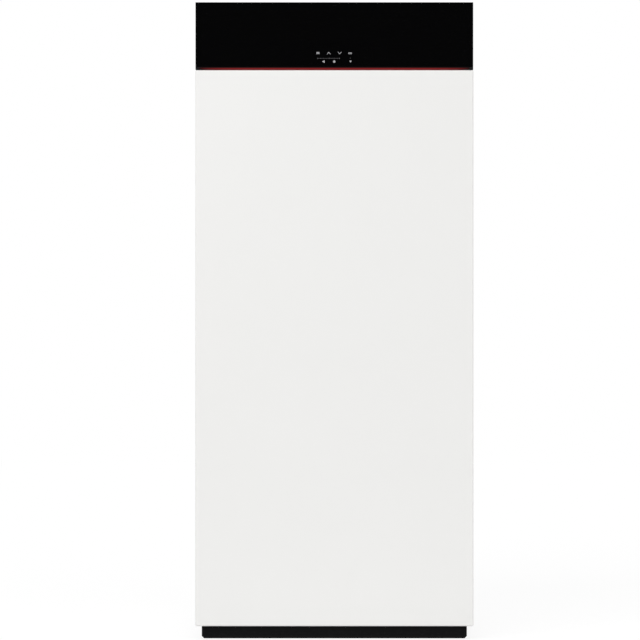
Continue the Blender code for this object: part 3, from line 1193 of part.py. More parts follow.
diverter_behind = DIVERTER_REAR + FIT
lead_y = DIVERTER_REAR + PORT_LEAD
tail_end = barrel_rear + TAIL_BEYOND + FIT
flow_x = stub_x["heating_flow"]
pipe("heating_flow_pipe",
     [(-PORT_SPREAD, diverter_behind, PORT_Z), (-PORT_SPREAD, lead_y, PORT_Z),
      (-PIPE_LANE, lead_y, PORT_Z), (-PIPE_LANE, 0, PORT_Z), (flow_x, 0, PORT_Z),
      (flow_x, STUB_Y, PORT_Z), (flow_x, STUB_Y, stub_top)], stub=flow_x)
pipe("boiler_flow_pipe",
     [(PORT_SPREAD, diverter_behind, PORT_Z), (PORT_SPREAD, lead_y, PORT_Z),
      (COIL_TAIL_RADIUS, lead_y, PORT_Z), (COIL_TAIL_RADIUS, lead_y, HIGH_LANE_Z),
      (COIL_TAIL_RADIUS, FLOW_LANE_Y, HIGH_LANE_Z), (COIL_TAIL_RADIUS, FLOW_LANE_Y, BARREL_Z),
      (COIL_TAIL_RADIUS, tail_end, BARREL_Z)])
return_x = stub_x["heating_return"]
pump_behind = PUMP_REAR + SPIGOT_LENGTH + FIT
pipe("heating_return_pipe",
     [(PUMP_X, pump_behind, pump_z), (PUMP_X, 0, pump_z), (return_x, 0, pump_z),
      (return_x, STUB_Y, pump_z), (return_x, STUB_Y, stub_top)], stub=return_x)
pump_outlet = pump_z + PUMP_RADIUS + SPIGOT_LENGTH + FIT
pipe("boiler_return_pipe",
     [(PUMP_X, pump_middle, pump_outlet), (PUMP_X, pump_middle, RETURN_LANE_Z),
      (PUMP_X, RETURN_LANE_Y, RETURN_LANE_Z), (-COIL_RADIUS, RETURN_LANE_Y, RETURN_LANE_Z),
      (-COIL_RADIUS, RETURN_LANE_Y, BARREL_Z), (-COIL_RADIUS, tail_end, BARREL_Z)])
hot_x = stub_x["hot_water"]
pipe("hot_water_pipe",
     [(-PORT_X, port_y, flange_top + FIT), (-PORT_X, port_y, CYLINDER_LANE_Z),
      (-PORT_X, CYLINDER_LANE_Y, CYLINDER_LANE_Z), (hot_x, CYLINDER_LANE_Y, CYLINDER_LANE_Z),
      (hot_x, STUB_Y, CYLINDER_LANE_Z), (hot_x, STUB_Y, stub_top)], stub=hot_x)
cold_x = stub_x["cold_water"]
pipe("cold_water_pipe",
     [(PORT_X, port_y, flange_top - DIP_REACH), (PORT_X, port_y, CYLINDER_LANE_Z),
      (PORT_X, CYLINDER_LANE_Y, CYLINDER_LANE_Z), (cold_x, CYLINDER_LANE_Y, CYLINDER_LANE_Z),
      (cold_x, STUB_Y, CYLINDER_LANE_Z), (cold_x, STUB_Y, stub_top)], stub=cold_x)
pipe("gas_pipe",
     [(valve_x, inlet_y, valve_top + FIT), (valve_x, inlet_y, GAS_DROP_Z),
      (valve_x, GAS_LANE_Y, GAS_DROP_Z), (valve_x, GAS_LANE_Y, GAS_LANE_Z),
      (0, GAS_LANE_Y, GAS_LANE_Z), (0, STUB_Y, GAS_LANE_Z), (0, STUB_Y, stub_top)],
     GAS_RADIUS, GALVANISED, 0)
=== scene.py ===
from itertools import product
from math import copysign, cos, exp, pi, radians, sin, tan

import bmesh
import bpy
from mathutils import Matrix, Vector


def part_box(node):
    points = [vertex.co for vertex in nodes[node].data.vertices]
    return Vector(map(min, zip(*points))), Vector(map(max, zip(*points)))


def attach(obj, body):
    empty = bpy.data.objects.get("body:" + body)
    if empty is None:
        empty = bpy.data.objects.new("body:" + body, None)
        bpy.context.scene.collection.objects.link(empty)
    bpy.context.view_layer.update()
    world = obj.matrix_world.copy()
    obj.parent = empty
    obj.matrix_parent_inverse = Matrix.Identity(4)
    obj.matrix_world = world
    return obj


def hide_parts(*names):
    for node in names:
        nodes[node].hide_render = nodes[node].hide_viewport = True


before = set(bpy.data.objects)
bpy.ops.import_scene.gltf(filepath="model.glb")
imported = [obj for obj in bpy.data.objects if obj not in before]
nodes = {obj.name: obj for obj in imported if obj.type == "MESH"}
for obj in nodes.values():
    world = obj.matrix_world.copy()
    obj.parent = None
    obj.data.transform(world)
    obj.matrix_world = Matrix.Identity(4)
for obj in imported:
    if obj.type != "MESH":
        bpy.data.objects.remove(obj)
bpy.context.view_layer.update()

scene = bpy.context.scene

# Studio. A pale floor, a wide soft lamp from the front left, a weak one from the right, a small
# one near the glass's top left corner, and even light from all round. The camera stands six metres
# in front, and one pixel of the picture is 2.156 mm of the boiler's front.
PIXEL, PICTURE = 0.002156, 640
MIDDLE_ACROSS, TOP_DOWN = 334.35, 2.26
CAMERA_DISTANCE = 6.0
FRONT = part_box("fascia_glass")[0].y
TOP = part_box("fascia_glass")[1].z

lens = bpy.data.cameras.new("camera")
lens.sensor_width = 36
lens.lens = lens.sensor_width * CAMERA_DISTANCE / (PICTURE * PIXEL)
lens.clip_end = 60
camera = bpy.data.objects.new("camera", lens)
scene.collection.objects.link(camera)
camera.location = ((PICTURE / 2 - MIDDLE_ACROSS) * PIXEL, FRONT - CAMERA_DISTANCE,
    TOP - (PICTURE / 2 - TOP_DOWN) * PIXEL)
camera.rotation_euler = (radians(90), 0, 0)
scene.camera = camera
scene.view_settings.view_transform = "Standard"


class Wire:
    """One output of a node. Arithmetic on it adds Math nodes to its tree."""

    def __init__(self, tree, socket):
        self.tree = tree
        self.socket = socket

    def sum(self, operation, *values):
        return self.tree.node("ShaderNodeMath", {"operation": operation}, dict(enumerate(values)))

    def __add__(self, other):
        return self.sum("ADD", self, other)

    def __radd__(self, other):
        return self.sum("ADD", other, self)

    def __sub__(self, other):
        return self.sum("SUBTRACT", self, other)

    def __rsub__(self, other):
        return self.sum("SUBTRACT", other, self)

    def __mul__(self, other):
        return self.sum("MULTIPLY", self, other)

    def __rmul__(self, other):
        return self.sum("MULTIPLY", other, self)

    def __truediv__(self, other):
        return self.sum("DIVIDE", self, other)

    def __rtruediv__(self, other):
        return self.sum("DIVIDE", other, self)

    def held(self):
        """Held between 0 and 1."""
        return self.sum("MINIMUM", self.sum("MAXIMUM", self, 0.0), 1.0)


class Tree:
    """A node tree written as expressions."""

    def __init__(self, made):
        self.made = made

    def plug(self, value, socket):
        if isinstance(value, Wire):
            self.made.links.new(value.socket, socket)
        elif socket.type == "RGBA":
            socket.default_value = (*value, 1.0)
        else:
            socket.default_value = value

    def node(self, kind, settings=None, sockets=None, result=0):
        """A node with its settings first, then its sockets. Hands back one of its outputs."""
        node = self.made.nodes.new(kind)
        for name, value in (settings or {}).items():
            if name == "stops":
                ramp = node.color_ramp.elements
                while len(ramp) < len(value):
                    ramp.new(0.5)
                for stop, (place, colour) in zip(ramp, value):
                    stop.position = place
                    stop.color = (*colour, 1.0)
            else:
                setattr(node, name, value)
        for name, value in (sockets or {}).items():
            self.plug(value, node.inputs[name])
        return Wire(self, node.outputs[result]) if node.outputs else None


def bare(owner):
    """The emptied node tree of a material or of the world."""
    owner.use_nodes = True
    owner.node_tree.nodes.clear()
    return Tree(owner.node_tree)


def floor_finish():
    """Pale lino that the camera and gloss see as white, with the boiler's shadow kept."""
    material = bpy.data.materials.new("pale_floor")
    tree = bare(material)
    seen = ray_kind(tree)
    lit = tree.node("ShaderNodeBsdfDiffuse", None, {"Color": (0.8, 0.8, 0.8)})
    white = tree.node("ShaderNodeEmission", None, {"Color": (1, 1, 1), "Strength": 1.09})
    both = tree.node("ShaderNodeMixShader", None, {0: seen * 0.8, 1: lit, 2: white})
    tree.node("ShaderNodeOutputMaterial", None, {"Surface": both})
    return material


def ray_kind(tree):
    """1 for a ray from the camera, off gloss or through glass, and 0 for plain light."""
    rays = tree.made.nodes.new("ShaderNodeLightPath")
    kinds = [Wire(tree, rays.outputs[name]) for name in ("Is Camera Ray", "Is Glossy Ray",
        "Is Transmission Ray")]
    return (kinds[0] + kinds[1] + kinds[2]).held()


def plane_of(name, corners, material):
    """One flat sheet of the studio."""
    mesh = bpy.data.meshes.new(name)
    mesh.from_pydata(corners, [], [range(len(corners))])
    mesh.materials.append(material)
    sheet = bpy.data.objects.new(name, mesh)
    scene.collection.objects.link(sheet)
    return sheet


FLOOR_Z, FLOOR_REACH = -0.0002, 7.0
plane_of("studio_floor", [(x * FLOOR_REACH, y * FLOOR_REACH, FLOOR_Z) for x, y in ((-1, -1),
    (1, -1), (1, 1), (-1, 1))], floor_finish())

dark_card = bpy.data.materials.new("black_card")
card_tree = bare(dark_card)
card_black = card_tree.node("ShaderNodeBsdfDiffuse", None, {"Color": (0.002, 0.002, 0.002)})
card_tree.node("ShaderNodeOutputMaterial", None, {"Surface": card_black})
CARD_Y = FRONT - CAMERA_DISTANCE - 3.0
card = plane_of("studio_black_card", [(x, CARD_Y, z) for x, z in ((-1.5, 0.9), (-1.5, 3.9),
    (1.5, 3.9), (1.5, 0.9))], dark_card)
card.visible_camera = card.visible_diffuse = card.visible_shadow = False
card.visible_transmission = False

world = bpy.data.worlds.new("studio_light")
scene.world = world
air = bare(world)
room = air.node("ShaderNodeBackground", None, {"Color": (1, 1, 1), "Strength": 0.56})
backdrop = air.node("ShaderNodeBackground", None, {"Color": (1, 1, 1), "Strength": 1.0})
air.node("ShaderNodeOutputWorld", None, {"Surface": air.node("ShaderNodeMixShader", None,
    {0: ray_kind(air), 1: room, 2: backdrop})})


def lamp(name, strength, bearing, height, spread):
    """A wide soft lamp at a bearing from straight ahead and a height, both in degrees."""
    light = bpy.data.lights.new(name, "SUN")
    light.energy = strength
    light.angle = radians(spread)
    lit = bpy.data.objects.new(name, light)
    lit.rotation_euler = (radians(90 - height), 0, radians(bearing))
    scene.collection.objects.link(lit)


lamp("key_lamp", 0.945, -32, 38, 40)
lamp("fill_lamp", 0.52, 38, 22, 60)
near = bpy.data.lights.new("near_lamp", "AREA")
near.shape = "DISK"
near.size = 0.6
near.energy = 3.4
near_lamp = bpy.data.objects.new("near_lamp", near)
near_lamp.location = (-1.1, FRONT - 1.3, TOP + 0.5)
near_lamp.rotation_euler = (Vector((-0.3, FRONT, TOP - 0.05)) - near_lamp.location).to_track_quat(
    "-Z", "Y").to_euler()
near_lamp.visible_camera = False
scene.collection.objects.link(near_lamp)


class Paint(Tree):
    """A procedural finish, one Principled shader on Object coordinates; its slot is not used."""

    def __init__(self, name, slot, **fixed):
        self.material = bpy.data.materials.new(name)
        super().__init__(bare(self.material).made)
        self.shader = self.made.nodes.new("ShaderNodeBsdfPrincipled")
        output = self.made.nodes.new("ShaderNodeOutputMaterial")
        self.made.links.new(self.shader.outputs[0], output.inputs[0])
        self.place = self.node("ShaderNodeTexCoord", result=3)
        for socket, value in fixed.items():
            self.plug(value, self.shader.inputs[socket.replace("_", " ")])

    def across(self, axis):
        """The place along one axis, in metres."""
        return self.node("ShaderNodeSeparateXYZ", None, {0: self.place}, "XYZ".index(axis))

    def scaled(self, size, stretch=(1, 1, 1)):
        return self.node("ShaderNodeMapping", None, {"Vector": self.place,
            "Scale": tuple(along / size for along in stretch)})

    def cloud(self, size, detail=2.0, rough=0.5, stretch=(1, 1, 1)):
        """Soft noise from 0 to 1 whose lumps are about this many metres."""
        return self.node("ShaderNodeTexNoise", None, {"Vector": self.scaled(size, stretch),
            "Scale": 1.0, "Detail": detail, "Roughness": rough})

    def cells(self, size, feature="F1", stretch=(1, 1, 1), result=0):
        """Cells about this many metres wide: result 0 is the distance, 1 a colour for each."""
        return self.node("ShaderNodeTexVoronoi", {"feature": feature},
            {"Vector": self.scaled(size, stretch), "Scale": 1.0}, result)

    def ramp(self, value, *stops):
        return self.node("ShaderNodeValToRGB", {"stops": stops}, {0: value})

    def blend(self, share, first, second):
        return self.node("ShaderNodeMix", {"data_type": "RGBA"}, {0: share, 6: first, 7: second}, 2)

    def between(self, share, low, high):
        return low + share * (high - low)

    def made_of(self, colour, roughness, height=None, depth=0.0):
        """Sends the finish's colour, roughness and relief in metres to the shader."""
        self.plug(colour, self.shader.inputs["Base Color"])
        self.plug(roughness, self.shader.inputs["Roughness"])
        if height is not None:
            self.plug(self.node("ShaderNodeBump", None, {"Height": height, "Distance": depth,
                "Strength": 1.0}), self.shader.inputs["Normal"])
        return self.material


def toned(colour, share, more=0.0):
    return tuple(part * share + more for part in colour)


def coated(name, slot, colour, dull, grain=0.0009, depth=0.00003, marks=0.05, metal_share=0.0):
    """Sprayed, dipped or cast skin: a fine peel, faint cloudiness and slightly uneven gloss."""
    paint = Paint(name, slot, Specular_IOR_Level=0.45, Metallic=metal_share)
    patches = paint.cloud(0.11, 3.0)
    peel = paint.cloud(grain, 2.0, 0.6)
    return paint.made_of(paint.blend(patches, toned(colour, 1 - marks), toned(colour, 1 + marks,
        0.002)), paint.between(paint.cloud(0.05, 4.0, 0.6), dull - 0.05, dull + 0.05), height=peel,
        depth=depth)


def shape_of(node):
    """The skin of a CAD node with its doubles merged and its flat faces joined."""
    shape = bmesh.new()
    shape.from_mesh(nodes[node].data)
    bmesh.ops.remove_doubles(shape, verts=shape.verts, dist=2e-6)
    bmesh.ops.dissolve_limit(shape, angle_limit=radians(1.0), verts=shape.verts, edges=shape.edges)
    return shape


def settled(name, mesh, stood_for, body, smooth):
    """A shaded piece that rides its body and stands for nodes."""
    mesh.name = name
    mesh.shade_smooth()
    mesh.set_sharp_from_angle(angle=radians(smooth))
    piece = bpy.data.objects.new(name, mesh)
    scene.collection.objects.link(piece)
    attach(piece, body)
    if stood_for:
        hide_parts(*stood_for)
    return piece


def outward(shape):
    bmesh.ops.recalc_face_normals(shape, faces=shape.faces)
    return shape


def fit(name, shape, paint, *stood_for, body="casing", smooth=35, soften=0.0):
    """Makes a piece of a shape that is made here, or of the node whose name is given."""
    if isinstance(shape, str):
        stood_for, shape = (shape,), shape_of(shape)
    else:
        outward(shape)
    mesh = bpy.data.meshes.new(name)
    shape.to_mesh(mesh)
    shape.free()
    mesh.materials.clear()
    mesh.materials.append(paint)
    mesh.polygons.foreach_set("material_index", [0] * len(mesh.polygons))
    piece = settled(name, mesh, stood_for, body, smooth)
    if soften:
        edge = piece.modifiers.new("soft_edges", "BEVEL")
        edge.width, edge.segments = soften, 2
        edge.limit_method, edge.angle_limit = "ANGLE", radians(smooth)
        edge.harden_normals = True
    else:
        piece.modifiers.new("flat_faces_first", "WEIGHTED_NORMAL").keep_sharp = True
    return piece


BLACK_PAINT = coated("black_base_paint", "black_paint", (0.012, 0.012, 0.014), 0.48)
fit("base_tray", "base_frame", BLACK_PAINT, smooth=30)

# Plinth. A matt black strip clipped to the front of the tray hides the feet. It is moulded with a
# fine eroded grain, its lower corners are cut off, and a lip runs back under the tray.
def moulded(name, colour, dull, grain=0.00035, depth=0.00002, slot="black_plastic", **fixed):
    """Moulded plastic: a fine eroded grain, faint flow marks and rubbed places."""
    paint = Paint(name, slot, **fixed)
    flow = paint.cloud(0.07, 3.0, 0.6, (1, 1, 0.4))
    grainy = paint.cells(grain)
    rubbed = paint.cloud(0.02, 5.0, 0.65)
    return paint.made_of(paint.blend(flow, toned(colour, 0.93), toned(colour, 1.07, 0.0008)),
        paint.between(rubbed, dull - 0.07, dull + 0.05), height=grainy, depth=depth)


BLACK_PLASTIC = moulded("black_moulding", (0.0052, 0.0053, 0.006), 0.52, Specular_IOR_Level=0.14)
MATT_BLACK = moulded("matt_black_moulding", (0.0042, 0.0042, 0.0046), 0.62, Specular_IOR_Level=0.06)


def skinned(shape, rings, loop=False, capped=False):
    """Joins each ring of points to the next; a ring of one point makes a tip."""
    for lower, upper in zip(rings, rings[1:] + (rings[:1] if loop else [])):
        for step in range(max(len(lower), len(upper))):
            corners = list(dict.fromkeys(ring[at % len(ring)] for ring, at in ((lower, step),
                (lower, step + 1), (upper, step + 1), (upper, step))))
            if len(corners) > 2:
                shape.faces.new(corners)
    if capped:
        shape.faces.new(rings[0][::-1])
        shape.faces.new(rings[-1])
    return shape


def mm(*points, out=0.0, up=0.0):
    """An outline in millimetres, counted from a radius (or a y) and a height in metres."""
    return [(out + x / 1000, up + y / 1000) for x, y in points]


def prism(shape, outline, start, end, axis="Y"):
    """A bar with closed ends: an outline of (x, z) drawn out along Y, or of (y, z) along X."""
    return skinned(shape, [[shape.verts.new((x, along, z) if axis == "Y" else (along, x, z))
        for x, z in outline] for along in (start, end)], capped=True)


def block(shape, low, high, round_to=0.0, segments=3):
    """A block between two corners with every edge rounded."""
    verts = bmesh.ops.create_cube(shape, size=1.0)["verts"]
    size = Vector(high) - Vector(low)
    for vert in verts:
        vert.co = Vector(low) + Vector((vert.co[axis] + 0.5) * size[axis] for axis in range(3))
    if round_to:
        edges = {edge for vert in verts for edge in vert.link_edges}
        bmesh.ops.bevel(shape, geom=list(edges), offset=round_to, segments=segments, profile=0.5,
            affect="EDGES")
    return shape


low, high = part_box("plinth_front")
plinth_half, plinth_bottom, cut_corner = high.x + 0.0008, low.z - 0.001, 0.005
outline = [(-plinth_half, high.z), (-plinth_half, plinth_bottom + cut_corner),
    (cut_corner - plinth_half, plinth_bottom)]
outline += [(-x, z) for x, z in reversed(outline)]
plinth = prism(bmesh.new(), outline, low.y, high.y)
block(plinth, (0.008 - plinth_half, high.y - 0.0004, plinth_bottom + 0.0004),
    (plinth_half - 0.008, high.y + 0.0056, plinth_bottom + 0.0022))
fit("plinth_strip", plinth, MATT_BLACK, "plinth_front", soften=0.0004)

# Levelling feet. Each is a round pad of grey nylon on an M10 steel stud, which screws up into the
# tray; a hexagon nut under the tray locks it.
def turned(shape, outline, centre=(0, 0, 0), axis="Z", sides=64, phase=0.0, lobed=None):
    """Turns an outline of (radius, height) points round an axis into one closed skin."""
    rings = []
    for radius, height in outline:
        ring = []
        for step in range(sides if radius > 1e-7 else 1):
            angle = phase + 2 * pi * step / sides
            reach = lobed(radius, angle) if lobed else radius
            side, back = reach * cos(angle), reach * sin(angle)
            point = {"Z": (side, back, height), "Y": (side, height, -back),
                "X": (height, back, -side)}[axis]
            ring.append(shape.verts.new(Vector(centre) + Vector(point)))
        rings.append(ring)
    return skinned(shape, rings, loop=len(rings[0]) > 1 or len(rings[-1]) > 1)


def hexagon(radius, low, high, edge=0.0006):
    """The outline of a spanner hexagon with chamfered ends, to be turned in six sides."""
    return [(0, low), (radius - edge * 1.6, low), (radius, low + edge), (radius, high - edge),
        (radius - edge * 1.6, high), (0, high)]


def threaded(shape, radius, low, high, centre, pitch=0.0015, deep=0.0008, sides=24):
    """A rod whose skin follows a real thread: each ring's radius turns with its height."""
    steps = max(4, round((high - low) / pitch * 5))
    rings = []
    for step in range(steps + 1):
        height = low + (high - low) * step / steps
        ring = []
        for side in range(sides):
            turn = side / sides
            wave = abs(((height / pitch - turn) % 1.0) * 2 - 1)
            reach = radius - deep * (1 - wave) * min(1, (step and 1) * (steps - step) / 5)
            ring.append(shape.verts.new((centre[0] + reach * cos(2 * pi * turn),
                centre[1] + reach * sin(2 * pi * turn), height)))
        rings.append(ring)
    return skinned(shape, rings, capped=True)


NYLON = moulded("grey_nylon", (0.13, 0.13, 0.135), 0.52, slot="grey_plastic")
ZINC = coated("zinc_plate", "stainless_steel", (0.62, 0.63, 0.64), 0.34, 0.0006, 0.00001, 0.08,
    0.92)
FOOT_NUT, NUT_BOTTOM, NUT_TOP = 0.0085, 0.04, 0.0452


def upright(node):
    """The foot of the upright line through a node's centre."""
    low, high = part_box(node)
    return Vector(((low.x + high.x) / 2, (low.y + high.y) / 2, 0))


for corner in ("front_left", "front_right", "rear_left", "rear_right"):
    node, body = f"levelling_foot_{corner}", f"foot_{corner}"
    low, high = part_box(node)
    middle, pad = upright(node), (high.x - low.x) / 2
    foot = turned(bmesh.new(), [(0, 0)] + mm((-2.5, 0), (-0.6, 0.5), (0, 1.6), (0, 3.4), (-0.8, 4),
        out=pad) + mm((13.8, 5.2), (13, 6.2), (13, 7.6), (12.6, 8), (0, 8)), middle)
    fit(f"foot_pad_{corner}", foot, NYLON, node, body=body)
    fit(f"foot_stud_{corner}", threaded(bmesh.new(), 0.005, low.z + 0.0081, high.z, middle), ZINC,
        smooth=60, body=body)
    nut = turned(bmesh.new(), hexagon(FOOT_NUT, NUT_BOTTOM, NUT_TOP), middle, sides=6)
    fit(f"foot_lock_nut_{corner}", nut, ZINC, smooth=20)


# Hot water cylinder. A stainless tank stands in a jacket of pale moulded foam, made in two halves
# that meet in a seam on both sides and are held by two bands. Its neck comes out of the lid.
def foam(name, colour, cell=0.0035, depth=0.0004):
    """Moulded foam: closed cells on its skin, cloudy colour, no shine."""
    paint = Paint(name, "pale_foam", Specular_IOR_Level=0.2)
    beads = paint.cells(cell, "F1")
    fine = paint.cloud(0.0012, 2.0)
    stain = paint.cloud(0.16, 4.0, 0.6)
    tone = paint.blend(stain, toned(colour, 0.9), colour)
    tone = paint.blend((beads * 1.2).held(), toned(colour, 1.03), tone)
    return paint.made_of(tone, paint.between(stain, 0.82, 0.95), height=beads * 0.6 + fine * 0.4,
        depth=depth)


PALE_FOAM = foam("pale_jacket_foam", (0.74, 0.74, 0.71))
jacket_low, jacket_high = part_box("cylinder_jacket")
CYLINDER = upright("cylinder_jacket")
JACKET_RADIUS = (jacket_high.x - jacket_low.x) / 2
JACKET_WALL = 0.038
bottom, lid = jacket_low.z, jacket_high.z
flange_low, flange_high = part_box("cylinder_flange")
NECK_HOLE = 0.0556
bore = JACKET_RADIUS - JACKET_WALL + 0.0004
jacket_outline = [(0, bottom + 0.036), (bore, bottom + 0.036), (bore, lid - 0.028)] + mm((0, -28),
    (0, -3), (3, 0), out=NECK_HOLE, up=lid)
jacket_outline += [(JACKET_RADIUS - 0.018 * (1 - sin(turn)), lid - 0.018 * (1 - cos(turn)))
    for turn in (radians(step * 15) for step in range(7))]
for groove in (0.52, 0.26):
    level = bottom + groove
    jacket_outline += mm((0, 12), (-2, 10), (-2, -10), (0, -12), out=JACKET_RADIUS, up=level)
jacket_outline += mm((0, 10), (-3, 3), (-10, 0), out=JACKET_RADIUS, up=bottom) + [(0, bottom)]
jacket = turned(bmesh.new(), jacket_outline, CYLINDER, sides=120)
for vert in jacket.verts:
    out = Vector((vert.co.x - CYLINDER[0], vert.co.y - CYLINDER[1]))
    if out.length > JACKET_RADIUS - 0.004:
        off_seam = abs(abs(out.x) - out.length) / out.length
        if off_seam < 0.0004:
            vert.co.x -= copysign(0.003, out.x)
fit("cylinder_jacket_foam", jacket, PALE_FOAM, "cylinder_jacket")

BAND = moulded("band_webbing", (0.028, 0.028, 0.032), 0.7, 0.0011, 0.00012)
for number, groove in enumerate((0.52, 0.26), 1):
    level = bottom + groove
    outer = JACKET_RADIUS - 0.0003
    band = turned(bmesh.new(), mm((-1.2, -9), (0, -8.6), (0, 8.6), (-1.2, 9), out=outer, up=level),
        CYLINDER, sides=120)
    fit(f"jacket_band_{number}", band, BAND)


def metal(name, colour, dull, grain=0.004, stretch=(1, 1, 1), depth=0.00002, tint=0.12,
        tarnish=(0.3, 0.22, 0.15), worn=0.25, slot="stainless_steel"):
    """Bare metal: drawn or brushed lines along the stretch, cloudy shine and a light tarnish."""
    paint = Paint(name, slot, Metallic=1.0)
    lines = paint.cloud(grain, 3.0, 0.6, stretch)
    age = (paint.cloud(0.055, 4.0, 0.65) * 2.4 - 1.0).held()
    tone = paint.blend(lines, toned(colour, 1 - tint), colour)
    tone = paint.blend(age * worn, tone, tuple(part * mark for part, mark in zip(colour, tarnish)))
    return paint.made_of(tone, paint.between(lines, dull - 0.06, dull + 0.06) + age * 0.12,
        height=lines, depth=depth)


STAINLESS = metal("stainless_steel_brushed", (0.6, 0.59, 0.57), 0.3, 0.0011, (1, 1, 0.06),
    tarnish=(0.8, 0.72, 0.6))
fit("cylinder_tank_shell", "cylinder_tank", STAINLESS)

# Cylinder flange. A turned steel plate on a black gasket closes the neck, held by eight hexagon
# bolts. The magnesium anode screws in through it and two water pipes pass through it.
class Recipe(Tree):
    """A Geometry Nodes tree with named inputs, run once and kept as a plain mesh."""

    KINDS = {"size": "NodeSocketFloat", "pitch": "NodeSocketFloat", "count": "NodeSocketInt",
        "step": "NodeSocketVector", "pattern": "NodeSocketObject", "finish": "NodeSocketMaterial"}

    def __init__(self, name, *inputs):
        super().__init__(bpy.data.node_groups.new(name, "GeometryNodeTree"))
        face = self.made.interface
        face.new_socket("Geometry", in_out="OUTPUT", socket_type="NodeSocketGeometry")
        face.new_socket("Geometry", in_out="INPUT", socket_type="NodeSocketGeometry")
        for label in inputs:
            face.new_socket(label, in_out="INPUT", socket_type=self.KINDS[label])
        entry = self.made.nodes.new("NodeGroupInput")
        self.given = {plug.name: Wire(self, plug) for plug in entry.outputs if plug.name}

    def ends(self, geometry):
        """Closes the tree: one real mesh in one material."""
        real = self.node("GeometryNodeRealizeInstances", None, {0: geometry})
        coat = self.node("GeometryNodeSetMaterial", None,
            {"Geometry": real, "Material": self.given["finish"]})
        exit_node = self.made.nodes.new("NodeGroupOutput")
        self.made.links.new(coat.socket, exit_node.inputs[0])

    def run(self, guide, **values):
        """Runs the tree on a guide mesh and hands back the result as a new mesh."""
        holder = bpy.data.objects.new("guide", guide)
        scene.collection.objects.link(holder)
        work = holder.modifiers.new("recipe", "NODES")
        work.node_group = self.made
        for item in self.made.interface.items_tree:
            if item.in_out == "INPUT" and item.name in values:
                work[item.identifier] = values[item.name]
        bpy.context.view_layer.update()
        ready = holder.evaluated_get(bpy.context.evaluated_depsgraph_get())
        mesh = bpy.data.meshes.new_from_object(ready)
        bpy.data.objects.remove(holder)
        bpy.data.meshes.remove(guide)
        return mesh


planting = Recipe("fasteners_on_points", "pattern", "size", "finish")
facing = planting.node("GeometryNodeInputNamedAttribute", {"data_type": "FLOAT_VECTOR"},
    {"Name": "facing"})
turn = planting.node("FunctionNodeAlignRotationToVector", {"axis": "Z"}, {"Vector": facing})
head = planting.node("GeometryNodeObjectInfo", None, {"Object": planting.given["pattern"]}, 4)
planting.ends(planting.node("GeometryNodeInstanceOnPoints", None,
    {"Points": planting.given["Geometry"], "Instance": head, "Rotation": turn,
    "Scale": planting.given["size"]}))


def repeated(recipe, name, pattern, guide, paint, *stood_for, body="casing", smooth=30,
        at=(0, 0, 0), **values):
    """Runs a recipe on a pattern and a guide, and makes one piece of the result."""
    mesh = bpy.data.meshes.new("pattern")
    outward(pattern).to_mesh(mesh)
    pattern.free()
    source = bpy.data.objects.new("pattern", mesh)
    made = recipe.run(guide, pattern=source, finish=paint, **values)
    made.transform(Matrix.Translation(at))
    bpy.data.objects.remove(source)
    bpy.data.meshes.remove(mesh)
    return settled(name, made, stood_for, body, smooth)


def planted(name, pattern, places, facing, paint, body="casing", smooth=30):
    """Sets one pattern on every place, its Z turned to one facing or to one for each place."""
    guide = bpy.data.meshes.new("spots")
    guide.from_pydata(places, [], [])
    ways = facing if isinstance(facing, list) else [facing] * len(places)
    turns = guide.attributes.new("facing", "FLOAT_VECTOR", "POINT")
    turns.data.foreach_set("vector", [part for way in ways for part in way])
    return repeated(planting, name, pattern, guide, paint, body=body, smooth=smooth, size=1.0)


def round_places(centre, radius, bearings, axis="Z"):
    """Places on a circle round an axis through the centre, at bearings in degrees."""
    x, y, z = centre
    circle = [(radius * cos(turn), radius * sin(turn)) for turn in map(radians, bearings)]
    return [(x + a, y + b, z) if axis == "Z" else (x + a, y, z + b) for a, b in circle]


def hex_bolt(head_radius=0.0058, head=0.004, washer=0.0085):
    """A hexagon bolt head on its washer."""
    shape = turned(bmesh.new(), [(0, 0), (washer, 0), (washer, 0.0008), (0, 0.0008)], sides=20)
    turned(shape, hexagon(head_radius, 0.0009, 0.0009 + head, 0.0005), sides=6)
    return shape


def pan_screw(radius=0.004, rise=0.0024, sides=24):
    """A pan head with a cross recess cut into its dome."""
    shape = bmesh.new()
    rings = [[shape.verts.new((0, 0, rise * 0.4))]]
    for share in (0.35, 0.62, 0.85, 1.0):
        rings.append([])
        for angle in (2 * pi * step / sides for step in range(sides)):
            recess = 0.55 if share < 0.8 and abs(sin(angle * 2)) < 0.3 else 0
            rings[-1].append(shape.verts.new((radius * share * cos(angle),
                radius * share * sin(angle), rise * (1 - share ** 2.6 - recess))))
    rings.append([shape.verts.new((vert.co.x, vert.co.y, -0.0002)) for vert in rings[-1]])
    skinned(shape, rings)
    shape.faces.new(rings[-1])
    return shape


UP, TO_FRONT, TO_REAR = (0, 0, 1), (0, -1, 0), (0, 1, 0)
RUBBER = moulded("black_rubber", (0.01, 0.01, 0.011), 0.72, 0.0006, 0.00003, "seal_rubber",
    Specular_IOR_Level=0.3)
flange_radius = (flange_high.x - flange_low.x) / 2
fit("cylinder_flange_plate", "cylinder_flange", STAINLESS, soften=0.0006)
gasket_outer, gasket_foot, gasket_top = (flange_radius + 0.0012, flange_low.z - 0.00055,
    flange_low.z + 0.0005)
gasket = turned(bmesh.new(), [(0.056, gasket_foot), (gasket_outer, gasket_foot),
    (gasket_outer, gasket_top), (0.056, gasket_top)], CYLINDER, sides=72)
fit("cylinder_flange_gasket", gasket, RUBBER)
BOLT_CIRCLE = 0.0625
planted("cylinder_flange_bolts", hex_bolt(0.0052, 0.0038, 0.0072),
    round_places((*CYLINDER[:2], flange_high.z), BOLT_CIRCLE,
    [22.5 + step * 45 for step in range(8)]), UP, ZINC)

